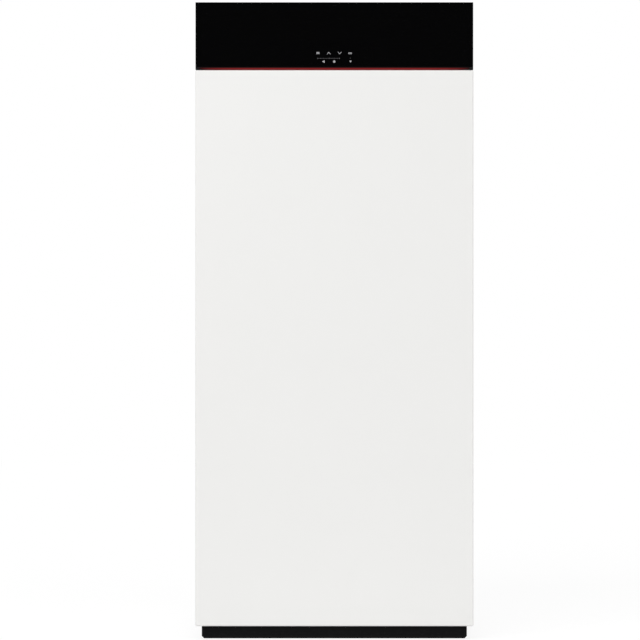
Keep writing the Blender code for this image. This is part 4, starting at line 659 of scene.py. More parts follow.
CAST = coated("cast_aluminium_skin", "cast_aluminium", (0.5, 0.5, 0.49), 0.46, 0.0011, 0.0001, 0.07,
    0.85)
anode_low, anode_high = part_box("magnesium_anode")
anode_at = upright("magnesium_anode")
head_radius = (anode_high.x - anode_low.x) / 2
head_foot = flange_high.z + 0.0003
anode = turned(bmesh.new(), hexagon(head_radius, head_foot, anode_high.z, 0.001), anode_at, sides=6,
    phase=radians(30))
turned(anode, mm((0, 0), (9.5, 0), (11, 1.5), up=anode_low.z) + mm((11, -0.4), (0, -0.4),
    up=head_foot), anode_at, sides=32)
fit("anode_rod_and_head", anode, CAST, "magnesium_anode")

# Shelves. Two trays bent from zinc-coated sheet, screwed between the side panels: the lower one
# carries the pump and valves, the upper one the burner and the expansion vessel.
def galvanised(name):
    """Hot-dipped zinc: large crystals of slightly different grey, each with its own shine."""
    paint = Paint(name, "galvanised_steel", Metallic=0.9)
    tone = paint.cells(0.011, "F1", (1, 1, 1), 1)
    split = paint.node("ShaderNodeSeparateColor", None, {0: tone}, 0)
    feather = paint.cloud(0.0022, 3.0, 0.6)
    crystal = (split * 0.7 + feather * 0.3).held()
    return paint.made_of(paint.blend(crystal, (0.44, 0.45, 0.46), (0.63, 0.64, 0.66)),
        paint.between(crystal, 0.5, 0.34), height=feather, depth=0.00002)


GALVANISED = galvanised("galvanised_sheet")
for node in ("hydraulic_shelf", "boiler_shelf"):
    fit(f"{node}_tray", node, GALVANISED, soften=0.0003)
shelf_screws = []
for node, inset in (("hydraulic_shelf", 0.03), ("boiler_shelf", 0.035)):
    low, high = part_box(node)
    shelf_screws += product((low.x + 0.012, high.x - 0.012), (low.y + inset, high.y - inset),
        (high.z,))
planted("shelf_screws", pan_screw(0.0042, 0.0024), shelf_screws, UP, ZINC)


# Diverter valve. A forged brass block on the lower shelf, with a gland nut on its front and a
# plunger inside; the black actuator on it has a cap clipped on and a plug for its lead.
def carried(paint, *kept):
    """A better finish on CAD nodes whose shape is kept."""
    for node in kept:
        nodes[node].data.materials.clear()
        nodes[node].data.materials.append(paint)


BRASS = metal("forged_brass", (0.66, 0.47, 0.2), 0.34, 0.0018, (1, 1, 1), 0.00004, 0.14,
    (0.62, 0.5, 0.32), 0.4, slot="brass")
low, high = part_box("diverter_body")
mid = (low + high) / 2
PORT_Z = 0.765
diverter = block(bmesh.new(), low, high, 0.005)
block(diverter, (mid.x - 0.022, low.y - 0.0022, mid.z - 0.022), (mid.x + 0.022, low.y + 0.002,
    mid.z + 0.022), 0.002, 3)
for side, face in ((-1, low.x), (1, high.x)):
    turned(diverter, mm((0, 0), (16.5, 0), up=-0.0005 * side) + [(0.0165, 0.0014 * side)]
        + mm((15.7, 0), (0, 0), up=0.0022 * side), (face, mid.y, mid.z - 0.006), "X", 40)
    turned(diverter, hexagon(0.0115, 0.0018 * side, 0.0078 * side, 0.001 * side),
        (face, mid.y, mid.z - 0.006), "X", 6)
turned(diverter, hexagon(0.0155, -0.011, -0.0015, 0.0012), (mid.x, low.y, mid.z), "Y", 6)
turned(diverter, mm((0, -15), (8, -15), (9.2, -13.8), (9.2, -10), (0, -10)), (mid.x, low.y, mid.z),
    "Y", 40)
for side in (-0.025, 0.025):
    turned(diverter, mm((11.2, 0.2), (16.5, 0.2), (16.5, -3), (11.2, -3)),
        (mid.x + side, high.y, PORT_Z), "Y", 40)
fit("diverter_block", diverter, BRASS, "diverter_body", smooth=30)
carried(metal("turned_plunger", (0.6, 0.59, 0.57), 0.22, 0.0006, (0.2, 0.2, 1)), "diverter_plunger")
low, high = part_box("diverter_actuator")
mid = (low + high) / 2
ACTUATOR_GREY = moulded("actuator_moulding", (0.03, 0.03, 0.033), 0.4)
actuator = block(bmesh.new(), low, (high.x, high.y, high.z - 0.016), 0.004)
block(actuator, (low.x + 0.002, low.y + 0.002, high.z - 0.0152), (high.x - 0.002, high.y - 0.002,
    high.z), 0.005)
block(actuator, (mid.x - 0.011, low.y - 0.007, low.z + 0.01), (mid.x + 0.011, low.y + 0.002,
    low.z + 0.022), 0.0015, 2)
turned(actuator, mm((0, 0), (7, 0), (7.6, 0.6), (7.6, 4.5), (0, 4.5)),
    (mid.x, low.y - 0.0015, high.z - 0.028), "Y", 40)
fit("diverter_actuator_head", actuator, ACTUATOR_GREY, "diverter_actuator", smooth=30)

# Circulation pump. A cast volute on a foot, dipped in dark red enamel, with the wet-rotor motor
# bolted on its front by four cap screws; the motor's can is ribbed to shed heat.
PUMP_ENAMEL = coated("pump_cast_enamel", "pump_enamel", (0.105, 0.015, 0.014), 0.36, 0.0016,
    0.00018, 0.16)
low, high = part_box("pump_body")
motor_low, motor_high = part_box("pump_motor")
pump_x, pump_z = (motor_low.x + motor_high.x) / 2, (motor_low.z + motor_high.z) / 2
rear, front = -0.14, motor_high.y + 0.0003
volute_outline = mm((0, 0), (30, 0), (36, -2), (46, -6), (48.8, -11), (50, -18),
    up=rear) + mm((50, 14), (47.8, 8.5), (47.8, 7.5), (49.6, 6.8), (50, 6.2), (50, 0.6), (49.4, 0),
    (0, 0), up=front)
pump = turned(bmesh.new(), volute_outline, (pump_x, 0, pump_z), "Y", 72)
turned(pump, mm((11.2, -4), (16.2, -4), up=rear) + mm((16.2, -0.8), (15.4, 0), (11.2, 0),
    up=high.y), (pump_x, 0, pump_z), "Y", 40)
spigot_middle = (rear + front) / 2
turned(pump, mm((11.2, 40), (16.2, 40), up=pump_z) + mm((16.2, -0.8), (15.4, 0), (11.2, 0),
    up=high.z), (pump_x, spigot_middle, 0), "Z", 40)
block(pump, (pump_x - 0.025, front + 0.004, low.z), (pump_x + 0.025, rear - 0.004, low.z + 0.0125),
    0.0025, 3)
for side in (-1, 1):
    block(pump, (pump_x + side * 0.018 - 0.0025, front + 0.008, low.z + 0.01),
        (pump_x + side * 0.018 + 0.0025, rear - 0.008, pump_z - 0.036), 0.0012, 2)
fit("pump_volute", pump, PUMP_ENAMEL, "pump_body", smooth=28)
carried(moulded("pump_impeller_moulding", (0.05, 0.05, 0.055), 0.45), "pump_impeller")
motor_back = motor_high.y
can = mm((0, 0), (30, 0), (35.5, 1.5), (38, 4), (39.2, 10), up=motor_low.y) + mm((40, -10),
    (41, -6.5), (49.4, -6), (50, -5.4), (50, -0.4), (49.6, 0), (0, 0), up=motor_back)
motor = turned(bmesh.new(), can, (pump_x, 0, pump_z), "Y", 72)
block(motor, (pump_x - 0.021, motor_low.y + 0.006, pump_z + 0.03),
    (pump_x + 0.021, motor_back - 0.012, pump_z + 0.058), 0.0035)
turned(motor, mm((0, -2.2), (15, -2.2), (15.8, -1.4), (15.8, 0.6), (0, 0.6)),
    (pump_x, motor_low.y, pump_z), "Y", 48)
fit("pump_motor_can", motor, BLACK_PLASTIC, "pump_motor", smooth=28)

ribs = Recipe("ribs_round_an_axis", "pattern", "count", "step", "finish")
ring_line = ribs.node("GeometryNodeMeshLine", {"mode": "OFFSET"}, {"Count": ribs.given["count"],
    "Start Location": (0, 0, 0), "Offset": (0, 0, 0)})
which = ribs.node("GeometryNodeInputIndex")
turn_by = ribs.node("ShaderNodeVectorMath", {"operation": "SCALE"},
    {0: ribs.given["step"], 3: which})
ribs.ends(ribs.node("GeometryNodeInstanceOnPoints", None,
    {"Points": ribs.node("GeometryNodeMeshToPoints", None, {0: ring_line}),
    "Instance": ribs.node("GeometryNodeObjectInfo", None, {"Object": ribs.given["pattern"]}, 4),
    "Rotation": ribs.node("FunctionNodeEulerToRotation", None, {0: turn_by})}))


def round_about(name, pattern, count, axis, centre, paint):
    """Repeats a pattern round an axis; the pattern stands at the origin, its root on the axis."""
    step = Vector([2 * pi / count if letter == axis else 0 for letter in "XYZ"])
    return repeated(ribs, name, pattern, bpy.data.meshes.new("spots"), paint, at=centre,
        count=count, step=step)


round_about("pump_motor_ribs", block(bmesh.new(), (0.036, 0.0, -0.0011),
    (0.043, motor_back - motor_low.y - 0.016, 0.0011), 0.0006, 2), 28, "Y",
    (pump_x, motor_low.y + 0.008, pump_z), BLACK_PLASTIC)


def cap_screw(radius=0.0038, rise=0.0042):
    """A socket cap screw: a drum with a hexagon socket."""
    return turned(bmesh.new(), [(0, 0), (radius, 0), (radius, rise - 0.0005),
        (radius - 0.0005, rise), (radius * 0.56, rise), (radius * 0.5, rise - 0.0022),
        (0, rise - 0.0022)], sides=24)


CAP_SCREW_CIRCLE = 0.0448
planted("pump_cap_screws", cap_screw(0.0036, 0.004),
    round_places((pump_x, motor_back - 0.006, pump_z), CAP_SCREW_CIRCLE, range(45, 405, 90), "Y"),
    TO_FRONT, ZINC)

# Plate heat exchanger. Twelve stamped stainless plates brazed together with copper; the front one
# carries four brass ports in a rectangle.
COPPER = metal("drawn_copper_pipe", (0.8, 0.43, 0.3), 0.27, 0.002, (1, 1, 1), 0.00001, 0.1,
    (0.5, 0.36, 0.3), 0.55, slot="copper")
stack_low, stack_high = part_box("plate_heat_exchanger")
PLATES, PLATE_PITCH = 12, 0.0065
stacking = Recipe("stack_of_plates", "pattern", "count", "step", "finish")
row = stacking.node("GeometryNodeMeshLine", {"mode": "OFFSET"}, {"Count": stacking.given["count"],
    "Offset": stacking.given["step"]})
stacking.ends(stacking.node("GeometryNodeInstanceOnPoints", None,
    {"Points": row, "Instance": stacking.node("GeometryNodeObjectInfo", None,
    {"Object": stacking.given["pattern"]}, 4)}))


def stacked(name, pattern, count, step, paint, *stood_for, body="casing"):
    """Repeats a pattern in a straight row."""
    return repeated(stacking, name, pattern, bpy.data.meshes.new("spots"), paint, *stood_for,
        body=body, count=count, step=Vector(step))


def slab(shape, low, high, corner, edge=0.0008, steps=6):
    """A plate that lies across Y, with rounded corners and a bevelled rim."""
    half_x, half_z = (high[0] - low[0]) / 2, (high[2] - low[2]) / 2
    rings = []
    for inset, along in ((edge, low[1]), (0, low[1] + edge), (0, high[1] - edge), (edge, high[1])):
        rings.append([])
        for quarter, (sign_x, sign_z) in enumerate(((1, 1), (-1, 1), (-1, -1), (1, -1))):
            for angle in (radians(90 * (quarter + step / steps)) for step in range(steps + 1)):
                rings[-1].append(shape.verts.new((low[0] + half_x + sign_x * (half_x - corner)
                    + (corner - inset) * cos(angle), along, low[2] + half_z + sign_z
                    * (half_z - corner) + (corner - inset) * sin(angle))))
    return skinned(shape, rings, capped=True)


plate_rows = slab(bmesh.new(), stack_low, (stack_high.x, stack_low.y + PLATE_PITCH * 0.6,
    stack_high.z), 0.016)
stacked("plate_exchanger_plates", plate_rows, PLATES, (0, PLATE_PITCH, 0), STAINLESS,
    "plate_heat_exchanger")
braze = slab(bmesh.new(), (stack_low.x + 0.004, stack_low.y + 0.002, stack_low.z + 0.004),
    (stack_high.x - 0.004, stack_high.y - 0.002, stack_high.z - 0.004), 0.013)
fit("plate_exchanger_braze", braze, COPPER)
stack_mid = (stack_low + stack_high) / 2
ports = bmesh.new()
for side in (-0.034, 0.034):
    for lift in (-0.066, 0.066):
        turned(ports, mm((7.5, 0), (11.8, 0), (11.8, -8.5), (11, -9.5), (7.5, -9.5)),
            (stack_mid.x + side, stack_low.y, stack_mid.z + lift), "Y", 36)
fit("plate_exchanger_ports", ports, BRASS, smooth=30)

# Safety valve. A small brass body with a ribbed red knob: a quarter turn lifts it off its seat.
RED_PLASTIC = moulded("red_knob_moulding", (0.46, 0.014, 0.012), 0.34, slot="red_plastic")
low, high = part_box("safety_valve_body")
mid = (low + high) / 2
shoulder = 0.7603
valve = turned(bmesh.new(), mm((0, 0), (5.2, 0), (6, -0.8), up=high.z) + mm((6, 0), (12.8, 0),
    (15, -2.2), (15, -14), (12, -16), up=shoulder) + mm((12, 18), (13.2, 16), (13.2, 1), (12.4, 0),
    (0, 0), up=low.z), (mid.x, mid.y, 0), sides=48)
turned(valve, hexagon(0.015, low.z + 0.001, low.z + 0.011, 0.001), (mid.x, mid.y, 0), sides=6)
fit("safety_valve_brass", valve, BRASS, "safety_valve_body", smooth=28)
low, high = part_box("safety_valve_knob")
mid = (low + high) / 2


def knob_lobes(radius, angle):
    """Eight shallow flutes round the grip."""
    grip = radius > 0.0114
    return radius * (1 - 0.055 * (0.5 - 0.5 * cos(8 * angle)) * grip)


knob = turned(bmesh.new(), mm((0, -1.2), (8.55, -1.2), (9.88, -0.4), (17.1, 0), (18.43, -0.8),
    (19, -2.6), up=high.z) + mm((19, 4), (18.24, 1), (17.48, 0), (6.555, 0), up=low.z)
    + mm((6.555, -6), (0, -6), up=high.z), (mid.x, mid.y, 0), sides=96, lobed=knob_lobes)
fit("safety_valve_red_knob", knob, RED_PLASTIC, "safety_valve_knob", smooth=30,
    body="safety_valve_knob")


# Heat exchanger. A welded stainless barrel lies on the upper shelf with its coil inside; the
# insulated burner door closes its front and carries the ignition electrode.
BARREL_LOW, BARREL_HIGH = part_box("heat_exchanger_shell")
BARREL_RADIUS = (BARREL_HIGH.x - BARREL_LOW.x) / 2
BARREL = (0.0, 0.0, BARREL_HIGH.z - BARREL_RADIUS)
barrel_front, barrel_rear = BARREL_LOW.y, BARREL_HIGH.y
inner = BARREL_RADIUS - 0.003
barrel = turned(bmesh.new(), [(0.0302, barrel_rear)] + mm((-12, 0), (-4, -3), (0, -11), (0, -70),
    (-1.6, -73), (-1.6, -77), (0, -80), out=BARREL_RADIUS, up=barrel_rear) + mm((0, 50), (-1.6, 47),
    (-1.6, 43), (0, 40), (0, 0), out=BARREL_RADIUS, up=barrel_front) + [(inner, barrel_front),
    (inner, barrel_rear - 0.003)] + mm((30.2, -3), up=barrel_rear), BARREL, "Y", 96)
turned(barrel, mm((8.5, 0), (10, 0), up=BARREL_LOW.z) + mm((10, 2), (8.5, 2), up=BARREL[2] - inner),
    upright("condensate_trap"), "Z", 32)
fit("barrel_shell", barrel, STAINLESS, "heat_exchanger_shell", smooth=40)
fit("barrel_coil", "heat_exchanger_coil", STAINLESS, smooth=70)
carried(metal("burner_gauze_weave", (0.36, 0.34, 0.32), 0.48, 0.0016, (1, 1, 1), 0.0002, 0.35,
    (0.6, 0.45, 0.35), 0.6), "burner_gauze")
fibre = turned(bmesh.new(), mm((36, 1), up=barrel_front) + mm((-1, 1), (-1, 16), (-6, 19),
    out=inner, up=barrel_front) + mm((40, 19), (36, 16), up=barrel_front), BARREL, "Y", 72)
CERAMIC_FIBRE = foam("white_fibre_board", (0.7, 0.69, 0.66), 0.0012, 0.0003)
fit("burner_door_fibre", fibre, CERAMIC_FIBRE)

door_low, door_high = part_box("burner_door")
door_radius = (door_high.x - door_low.x) / 2
door_front = door_low.y
door = turned(bmesh.new(), [(0.03, door_high.y)] + mm((-1, 0), (0, -1), out=door_radius,
    up=door_high.y) + mm((0, 3.5), (-0.8, 2.8), out=door_radius, up=door_front) + mm((118, 2.8),
    (116, 1), (90, 0), (30, 0), up=door_front), BARREL, "Y", 96)
EAR_CIRCLE, FIRST_EAR = 0.1192, 18
ears = round_places((0, door_front + 0.0004, BARREL[2]), EAR_CIRCLE, range(FIRST_EAR, 378, 60), "Y")
for place in ears:
    turned(door, mm((0, 0), (7.8, 0), (8.5, 0.8)) + mm((8.5, -1), (0, -1),
        up=door_high.y - door_front), place, "Y", 28)


def copied(shape, pattern, placings):
    """Adds a copy of a pattern to the shape for every placing."""
    mesh = bpy.data.meshes.new("pattern")
    pattern.to_mesh(mesh)
    pattern.free()
    for placing in placings:
        copy = mesh.copy()
        copy.transform(placing)
        shape.from_mesh(copy)


rib = block(bmesh.new(), (0.086, door_front - 0.0018, -0.0016), (0.115, door_front + 0.0035,
    0.0016), 0.0007, 2)
copied(door, rib, [Matrix.Translation(BARREL) @ Matrix.Rotation(-radians(bearing), 4, "Y")
    for bearing in range(FIRST_EAR, 378, 30)])
fit("burner_door_casting", door, CAST, "burner_door", smooth=30)
planted("burner_door_bolts", hex_bolt(0.005, 0.0038, 0.0074), ears, TO_FRONT, ZINC)

CERAMIC = moulded("glazed_ceramic", (0.8, 0.78, 0.73), 0.18, 0.0008, 0.00001, slot="white_ceramic")
spark_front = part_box("ignition_electrode")[0].y
SPARK_CIRCLE, SPARK_BEARING = 0.104, radians(50)
spark_x = SPARK_CIRCLE * cos(SPARK_BEARING)
spark_z = BARREL[2] + SPARK_CIRCLE * sin(SPARK_BEARING)
spark = turned(bmesh.new(), mm((0, 0), (1.6, 0), (1.6, 3), (3.6, 3.6), (4.6, 6), (3.6, 7.4),
    (4.6, 9), (3.6, 10.4), (5, 12), up=spark_front) + mm((5, 12), (0, 12), up=door_high.y),
    (spark_x, 0, spark_z), "Y", 32)
fit("ignition_electrode_ceramic", spark, CERAMIC, "ignition_electrode", smooth=30)

# Fan. A die-cast volute bolted to the door blows the gas and air in; its motor sits in front
# under a moulded cap with a lead socket, and the air and gas come in by a side pipe.
fan_low, fan_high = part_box("fan_housing")
cover_low, cover_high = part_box("fan_motor")
fan_front, fan_rear = fan_low.y, fan_high.y
fan = turned(bmesh.new(), mm((30, 0), (81, 0), (84, -3), up=fan_rear) + mm((84, 34), (80.5, 32),
    (80.5, 30), (84, 28), (84, 10), (81, 3.4), (74, 0), (52, 0), (50, 1.2), (8, 1.2), (8, 3.6),
    (30, 3.6), up=fan_front), BARREL, "Y", 96)
turned(fan, mm((19.5, 80.5), (23.2, 80.5), (23.2, 118), (22.2, 120), (22.2, 130), (29, 130.5),
    (29.6, 131.2)) + mm((29.6, -0.6), (29, 0), (19.5, 0), up=fan_high.x),
    (0, (fan_front + fan_rear) / 2, BARREL[2]), "X", 48)
FAN_SCREWS, FAN_SCREW_CIRCLE = (35, 90, 145, 215, 270, 325), 0.085
for place in round_places(BARREL, FAN_SCREW_CIRCLE, FAN_SCREWS, "Y"):
    turned(fan, mm((0, 4), (6.2, 4), (6.8, 5), (6.8, 28), (0, 28), up=fan_front), place, "Y", 24)
fit("fan_volute", fan, CAST, "fan_housing", smooth=30)
planted("fan_volute_screws", cap_screw(0.0034, 0.0034),
    round_places((0, fan_front + 0.0038, BARREL[2]), FAN_SCREW_CIRCLE, FAN_SCREWS, "Y"), TO_FRONT,
    ZINC)
carried(CAST, "fan_impeller")
cap = turned(bmesh.new(), mm((0, 0), (20, 0), (32, 1), (37, 4.5), (39.5, 12), (40.2, 30),
    (40.2, 31), (42, 31.5), up=cover_low.y) + mm((42, -1), (41, 0), (0, 0), up=cover_high.y),
    BARREL, "Y", 80)
block(cap, (-0.017, cover_low.y + 0.012, BARREL[2] - 0.056), (0.017, cover_low.y + 0.036,
    BARREL[2] - 0.03), 0.002)
turned(cap, mm((0, -1.2), (9.5, -1.2), (10.2, -0.5), (10.2, 1), (0, 1)),
    (0, cover_low.y, BARREL[2]), "Y", 40)
FAN_GREY = moulded("fan_cap_moulding", (0.048, 0.049, 0.052), 0.42, slot="grey_plastic")
fit("fan_motor_cap", cap, FAN_GREY, "fan_motor", smooth=28)
round_about("fan_motor_cap_ribs", block(bmesh.new(), (0.0365, 0.0, -0.0009),
    (0.0418, 0.0195, 0.0009), 0.0005, 2), 36, "Y", (0, cover_low.y + 0.0105, BARREL[2]), FAN_GREY)

# Gas valve. A die-cast block with two black coils on top. On its front are a regulator under a
# round cap and a narrow cover, with two screws each, and two brass test nipples.
low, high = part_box("gas_valve")
face = high.y - 0.062
mid_x, mid_z = (low.x + high.x) / 2, (low.z + high.z) / 2
gas = block(bmesh.new(), (low.x, face, low.z), high, 0.004)
turned(gas, mm((0, 0), (16, 0), (17.6, 1.2), (17.6, 8.5), (20.6, 9.5), (22, 11), up=low.y)
    + mm((22, 2), (0, 2), up=face), (mid_x, 0, mid_z), "Y", 48)
block(gas, (low.x + 0.004, face - 0.0016, low.z + 0.004), (low.x + 0.013, face + 0.002,
    high.z - 0.004), 0.0008, 2)
fit("gas_valve_casting", gas, CAST, "gas_valve", smooth=30)
nipples = bmesh.new()
for lift in (-0.03, 0.03):
    turned(nipples, hexagon(0.005, -0.004, 0.0008, 0.0006), (high.x - 0.01, face, mid_z + lift),
        "Y", 6)
    turned(nipples, mm((0, -10), (2.2, -10), (2.6, -8.8), (2.6, -3.6), (0, -3.6)),
        (high.x - 0.01, face, mid_z + lift), "Y", 20)
fit("gas_valve_nipples", nipples, BRASS, smooth=30)
coils = bmesh.new()
for along in (face + 0.011, high.y - 0.011):
    block(coils, (low.x + 0.003, along - 0.009, high.z - 0.0005), (low.x + 0.0165, along + 0.009,
        high.z + 0.02), 0.0022)
fit("gas_valve_coils", coils, BLACK_PLASTIC, smooth=30)
planted("gas_valve_screws", cap_screw(0.003, 0.0032), [(low.x + 0.0085, face - 0.0016, mid_z + lift)
    for lift in (-0.028, 0.028)] + [(mid_x + side, low.y, mid_z) for side in (-0.0095, 0.0095)],
    TO_FRONT, ZINC)

# Expansion vessel. Two dished steel halves rolled together at a rim and painted red; a boss on its
# right side carries the brass union of its water side.
VESSEL_RED = coated("vessel_red_enamel", "vessel_enamel", (0.4, 0.022, 0.018), 0.3, 0.0013, 0.00005,
    0.1)
low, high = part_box("expansion_vessel")
radius = (high.z - low.z) / 2
at = (0, (low.y + high.y) / 2, (low.z + high.z) / 2)
middle = (low.x + high.x) / 2
SHELL, DISH = radius - 0.0022, 0.026
vessel_outline = [(0, low.x)] + mm((-50, 0), (-30, 1.8), out=radius, up=low.x)
vessel_outline += [(SHELL - DISH + DISH * sin(turn_to), low.x + 0.003 + DISH * (1 - cos(turn_to)))
    for turn_to in (radians(10 + step * 10) for step in range(9))]
rim = [(SHELL, middle - 0.008)] + mm((-0.4, -7.2), (0, -6.2), (0, 6.2), (-0.4, 7.2), out=radius,
    up=middle) + [(SHELL, middle + 0.008)]
back_half = [(reach, 2 * middle - along) for reach, along in reversed(vessel_outline)]
vessel = turned(bmesh.new(), vessel_outline + rim + back_half, at, "X", 112)
turned(vessel, mm((0, -1), (18, -1), (18, -4.5), (0, -4.5), up=high.x), at, "X", 40)
fit("expansion_vessel_shell", vessel, VESSEL_RED, "expansion_vessel", smooth=30)
nut = turned(bmesh.new(), hexagon(0.014, high.x - 0.001, high.x + 0.013, 0.001), at, "X", 6)
turned(nut, mm((4, 12), (9.5, 12), (9.5, 25), (8.8, 26), (4, 26), up=high.x), at, "X", 36)
fit("expansion_vessel_union", nut, BRASS, smooth=30)

# Flue duct. A thin stainless tube takes the burnt gas from the barrel's rear up to the collar, in
# one bend, and a rubber ring seals it at the barrel. The electrode's wire is swept the same way.
def bent(corners, bend, steps=10):
    """The corners of a route with each turned into an arc."""
    points = [Vector(corners[0])]
    for before, corner, after in zip(corners, corners[1:], corners[2:]):
        corner = Vector(corner)
        back = (Vector(before) - corner).normalized()
        onward = (Vector(after) - corner).normalized()
        half = back.angle(onward) / 2
        centre = corner + (back + onward).normalized() * bend / sin(half)
        first = corner + back * bend / tan(half) - centre
        last = corner + onward * bend / tan(half) - centre
        hinge = first.cross(last).normalized()
        for step in range(steps + 1):
            part = Matrix.Rotation(first.angle(last) * step / steps, 3, hinge)
            points.append(centre + part @ first)
    points.append(Vector(corners[-1]))
    return points


def swept(shape, route, radius, sides=24, bore=None, through=None):
    """A round bar along a route, bored at its last end by (radius, depth) or right through."""
    rings, across, before = [], None, None
    for index, point in enumerate(route):
        ahead = route[min(index + 1, len(route) - 1)] - route[max(index - 1, 0)]
        ahead.normalize()
        if before:
            across = before.rotation_difference(ahead) @ across
        else:
            across = ahead.orthogonal().normalized()
        before = ahead.copy()
        rings.append((point, across.copy(), ahead.cross(across), radius))
    if bore:
        point, one, two, _ = rings[-1]
        end = (route[-1] - route[-2]).normalized()
        rings += [(point, one, two, bore[0]), (point - end * bore[1], one, two, bore[0])]
    if through:
        rings += [(point, one, two, through) for point, one, two, _ in reversed(rings)]
    made = [[shape.verts.new(point + (one * cos(angle) + two * sin(angle)) * reach)
        for angle in (2 * pi * step / sides for step in range(sides))]
        for point, one, two, reach in rings]
    return skinned(shape, made, loop=bool(through), capped=not through)


inward = Vector((-cos(SPARK_BEARING), 0, -sin(SPARK_BEARING)))
wire_from = Vector((spark_x, door_high.y + 0.011, spark_z))
wire_turn = wire_from + Vector((0, 0.0046, 0))
wire = swept(bmesh.new(), bent([wire_from, wire_turn, wire_turn + inward * 0.05], 0.0024, 8),
    0.0012, 16)
fit("ignition_electrode_wire", wire, STAINLESS)

duct_low, duct_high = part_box("flue_duct")
flue_y = upright("flue_collar").y
duct_radius = (duct_high.x - duct_low.x) / 2
duct_route = bent([(0, duct_low.y, BARREL[2]), (0, flue_y, BARREL[2]), (0, flue_y, duct_high.z)],
    0.036, 16)
duct = swept(bmesh.new(), duct_route, duct_radius, 56, through=duct_radius - 0.0015)
fit("flue_duct_tube", duct, STAINLESS, "flue_duct", smooth=40)
seal = turned(bmesh.new(), mm((0, 0), (6, 0), (6.6, 0.8), (5, 5.2), (0, 5.8), out=duct_radius,
    up=duct_low.y), BARREL, "Y", 56)
fit("flue_duct_seal", seal, RUBBER)

# Condensate trap and hose. A grey bowl hangs under the barrel's drain with a ribbed screw ring;
# its corrugated hose runs back through the rear panel.
TRAP_GREY = moulded("trap_moulding", (0.26, 0.27, 0.28), 0.38, slot="grey_plastic")
low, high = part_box("condensate_trap")
at = upright("condensate_trap")
trap_radius = (high.x - low.x) / 2
ring_z = high.z - 0.02
trap = turned(bmesh.new(), mm((0, 0), (17.6, 0), (18, -0.6), up=high.z) + mm((18, 3), up=ring_z)
    + mm((-4, 0), (0, -3), (0, -16), (-1.8, -18), out=trap_radius, up=ring_z) + mm((-3, 14),
    (-5.6, 5), (-12, 0.8), (-18, 0), out=trap_radius, up=low.z) + [(0, low.z)], at, sides=72)
fit("condensate_trap_bowl", trap, TRAP_GREY, "condensate_trap", smooth=30)
round_about("condensate_trap_grip", block(bmesh.new(), (trap_radius - 0.003, -0.0012,
    ring_z - 0.0155), (trap_radius + 0.001, 0.0012, ring_z - 0.0035), 0.0006, 2), 30, "Z", at,
    TRAP_GREY)

hose_low, hose_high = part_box("condensate_hose")
hose_radius = (hose_high.x - hose_low.x) / 2
hose_z = (hose_high.z + hose_low.z) / 2
corrugating = Recipe("corrugated_hose", "size", "pitch", "count", "finish")
along = corrugating.node("GeometryNodeMeshToCurve", None, {0: corrugating.given["Geometry"]})
along = corrugating.node("GeometryNodeResampleCurve", {"mode": "COUNT"},
    {"Curve": along, "Count": corrugating.given["count"]})
run_length = corrugating.node("GeometryNodeSplineParameter", result=1)
wave = (run_length * (2 * pi) / corrugating.given["pitch"]).sum("SINE", run_length * (2 * pi)
    / corrugating.given["pitch"])
skin = corrugating.given["size"] * (0.93 + 0.07 * wave)
rings_of = corrugating.node("GeometryNodeCurvePrimitiveCircle", None,
    {"Resolution": 36, "Radius": 1.0})
corrugating.ends(corrugating.node("GeometryNodeCurveToMesh", None,
    {"Curve": along, "Profile Curve": rings_of, "Scale": skin, "Fill Caps": True}))
centre_line = bpy.data.meshes.new("hose_line")
centre_line.from_pydata([(0, hose_low.y, hose_z), (0, hose_high.y, hose_z)], [(0, 1)], [])
hose_mesh = corrugating.run(centre_line, size=hose_radius, pitch=0.0045, count=430,
    finish=TRAP_GREY)
hose = bmesh.new()
hose.from_mesh(hose_mesh)
bmesh.ops.remove_doubles(hose, verts=hose.verts, dist=1e-6)
fit("condensate_hose_corrugated", hose, TRAP_GREY, "condensate_hose", smooth=60)


# Pipes. Drawn copper, bent cold on a 21 mm former, with brass union nuts at the pieces that they
# serve; the gas pipe is zinc-coated steel. Five of them end as bored stubs above the top.
STUB_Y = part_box("gas_pipe")[1].y - 0.009
STUB_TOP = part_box("gas_pipe")[1].z
FORMER, PIPE, GAS_PIPE = 0.021, 0.011, 0.009    # the bends' radius and the pipes'
RUNS = {
    "heating_flow_pipe": [(-.025, -.1447, .765), (-.025, -.1, .765), (-.1, -.1, .765),
        (-.1, 0, .765), (-.2, 0, .765), (-.2, STUB_Y, .765), (-.2, STUB_Y, STUB_TOP)],
    "boiler_flow_pipe": [(.025, -.1447, .765), (.025, -.1, .765), (.108, -.1, .765),
        (.108, -.1, .86), (.108, .185, .86), (.108, .185, 1.076), (.108, .1123, 1.076)],
    "heating_return_pipe": [(.14, -.1277, .7703), (.14, 0, .7703), (.2, 0, .7703),
        (.2, STUB_Y, .7703), (.2, STUB_Y, STUB_TOP)],
    "boiler_return_pipe": [(.14, -.163, .8326), (.14, -.163, .896), (.14, .214, .896),
        (-.085, .214, .896), (-.085, .214, 1.076), (-.085, .1123, 1.076)],
    "hot_water_pipe": [(-.034, .033, .7062), (-.034, .033, .802), (-.034, .16, .802),
        (-.1, .16, .802), (-.1, STUB_Y, .802), (-.1, STUB_Y, STUB_TOP)],
    "cold_water_pipe": [(.034, .033, .1859), (.034, .033, .802), (.034, .16, .802),
        (.1, .16, .802), (.1, STUB_Y, .802), (.1, STUB_Y, STUB_TOP)],
    "gas_pipe": [(.1683, -.1596, 1.1153), (.1683, -.1596, 1.222), (.1683, .2, 1.222),
        (.1683, .2, 1.3), (0, .2, 1.3), (0, STUB_Y, 1.3), (0, STUB_Y, STUB_TOP)]}
BOILER_SIDE = ("boiler_flow_pipe", "boiler_return_pipe")
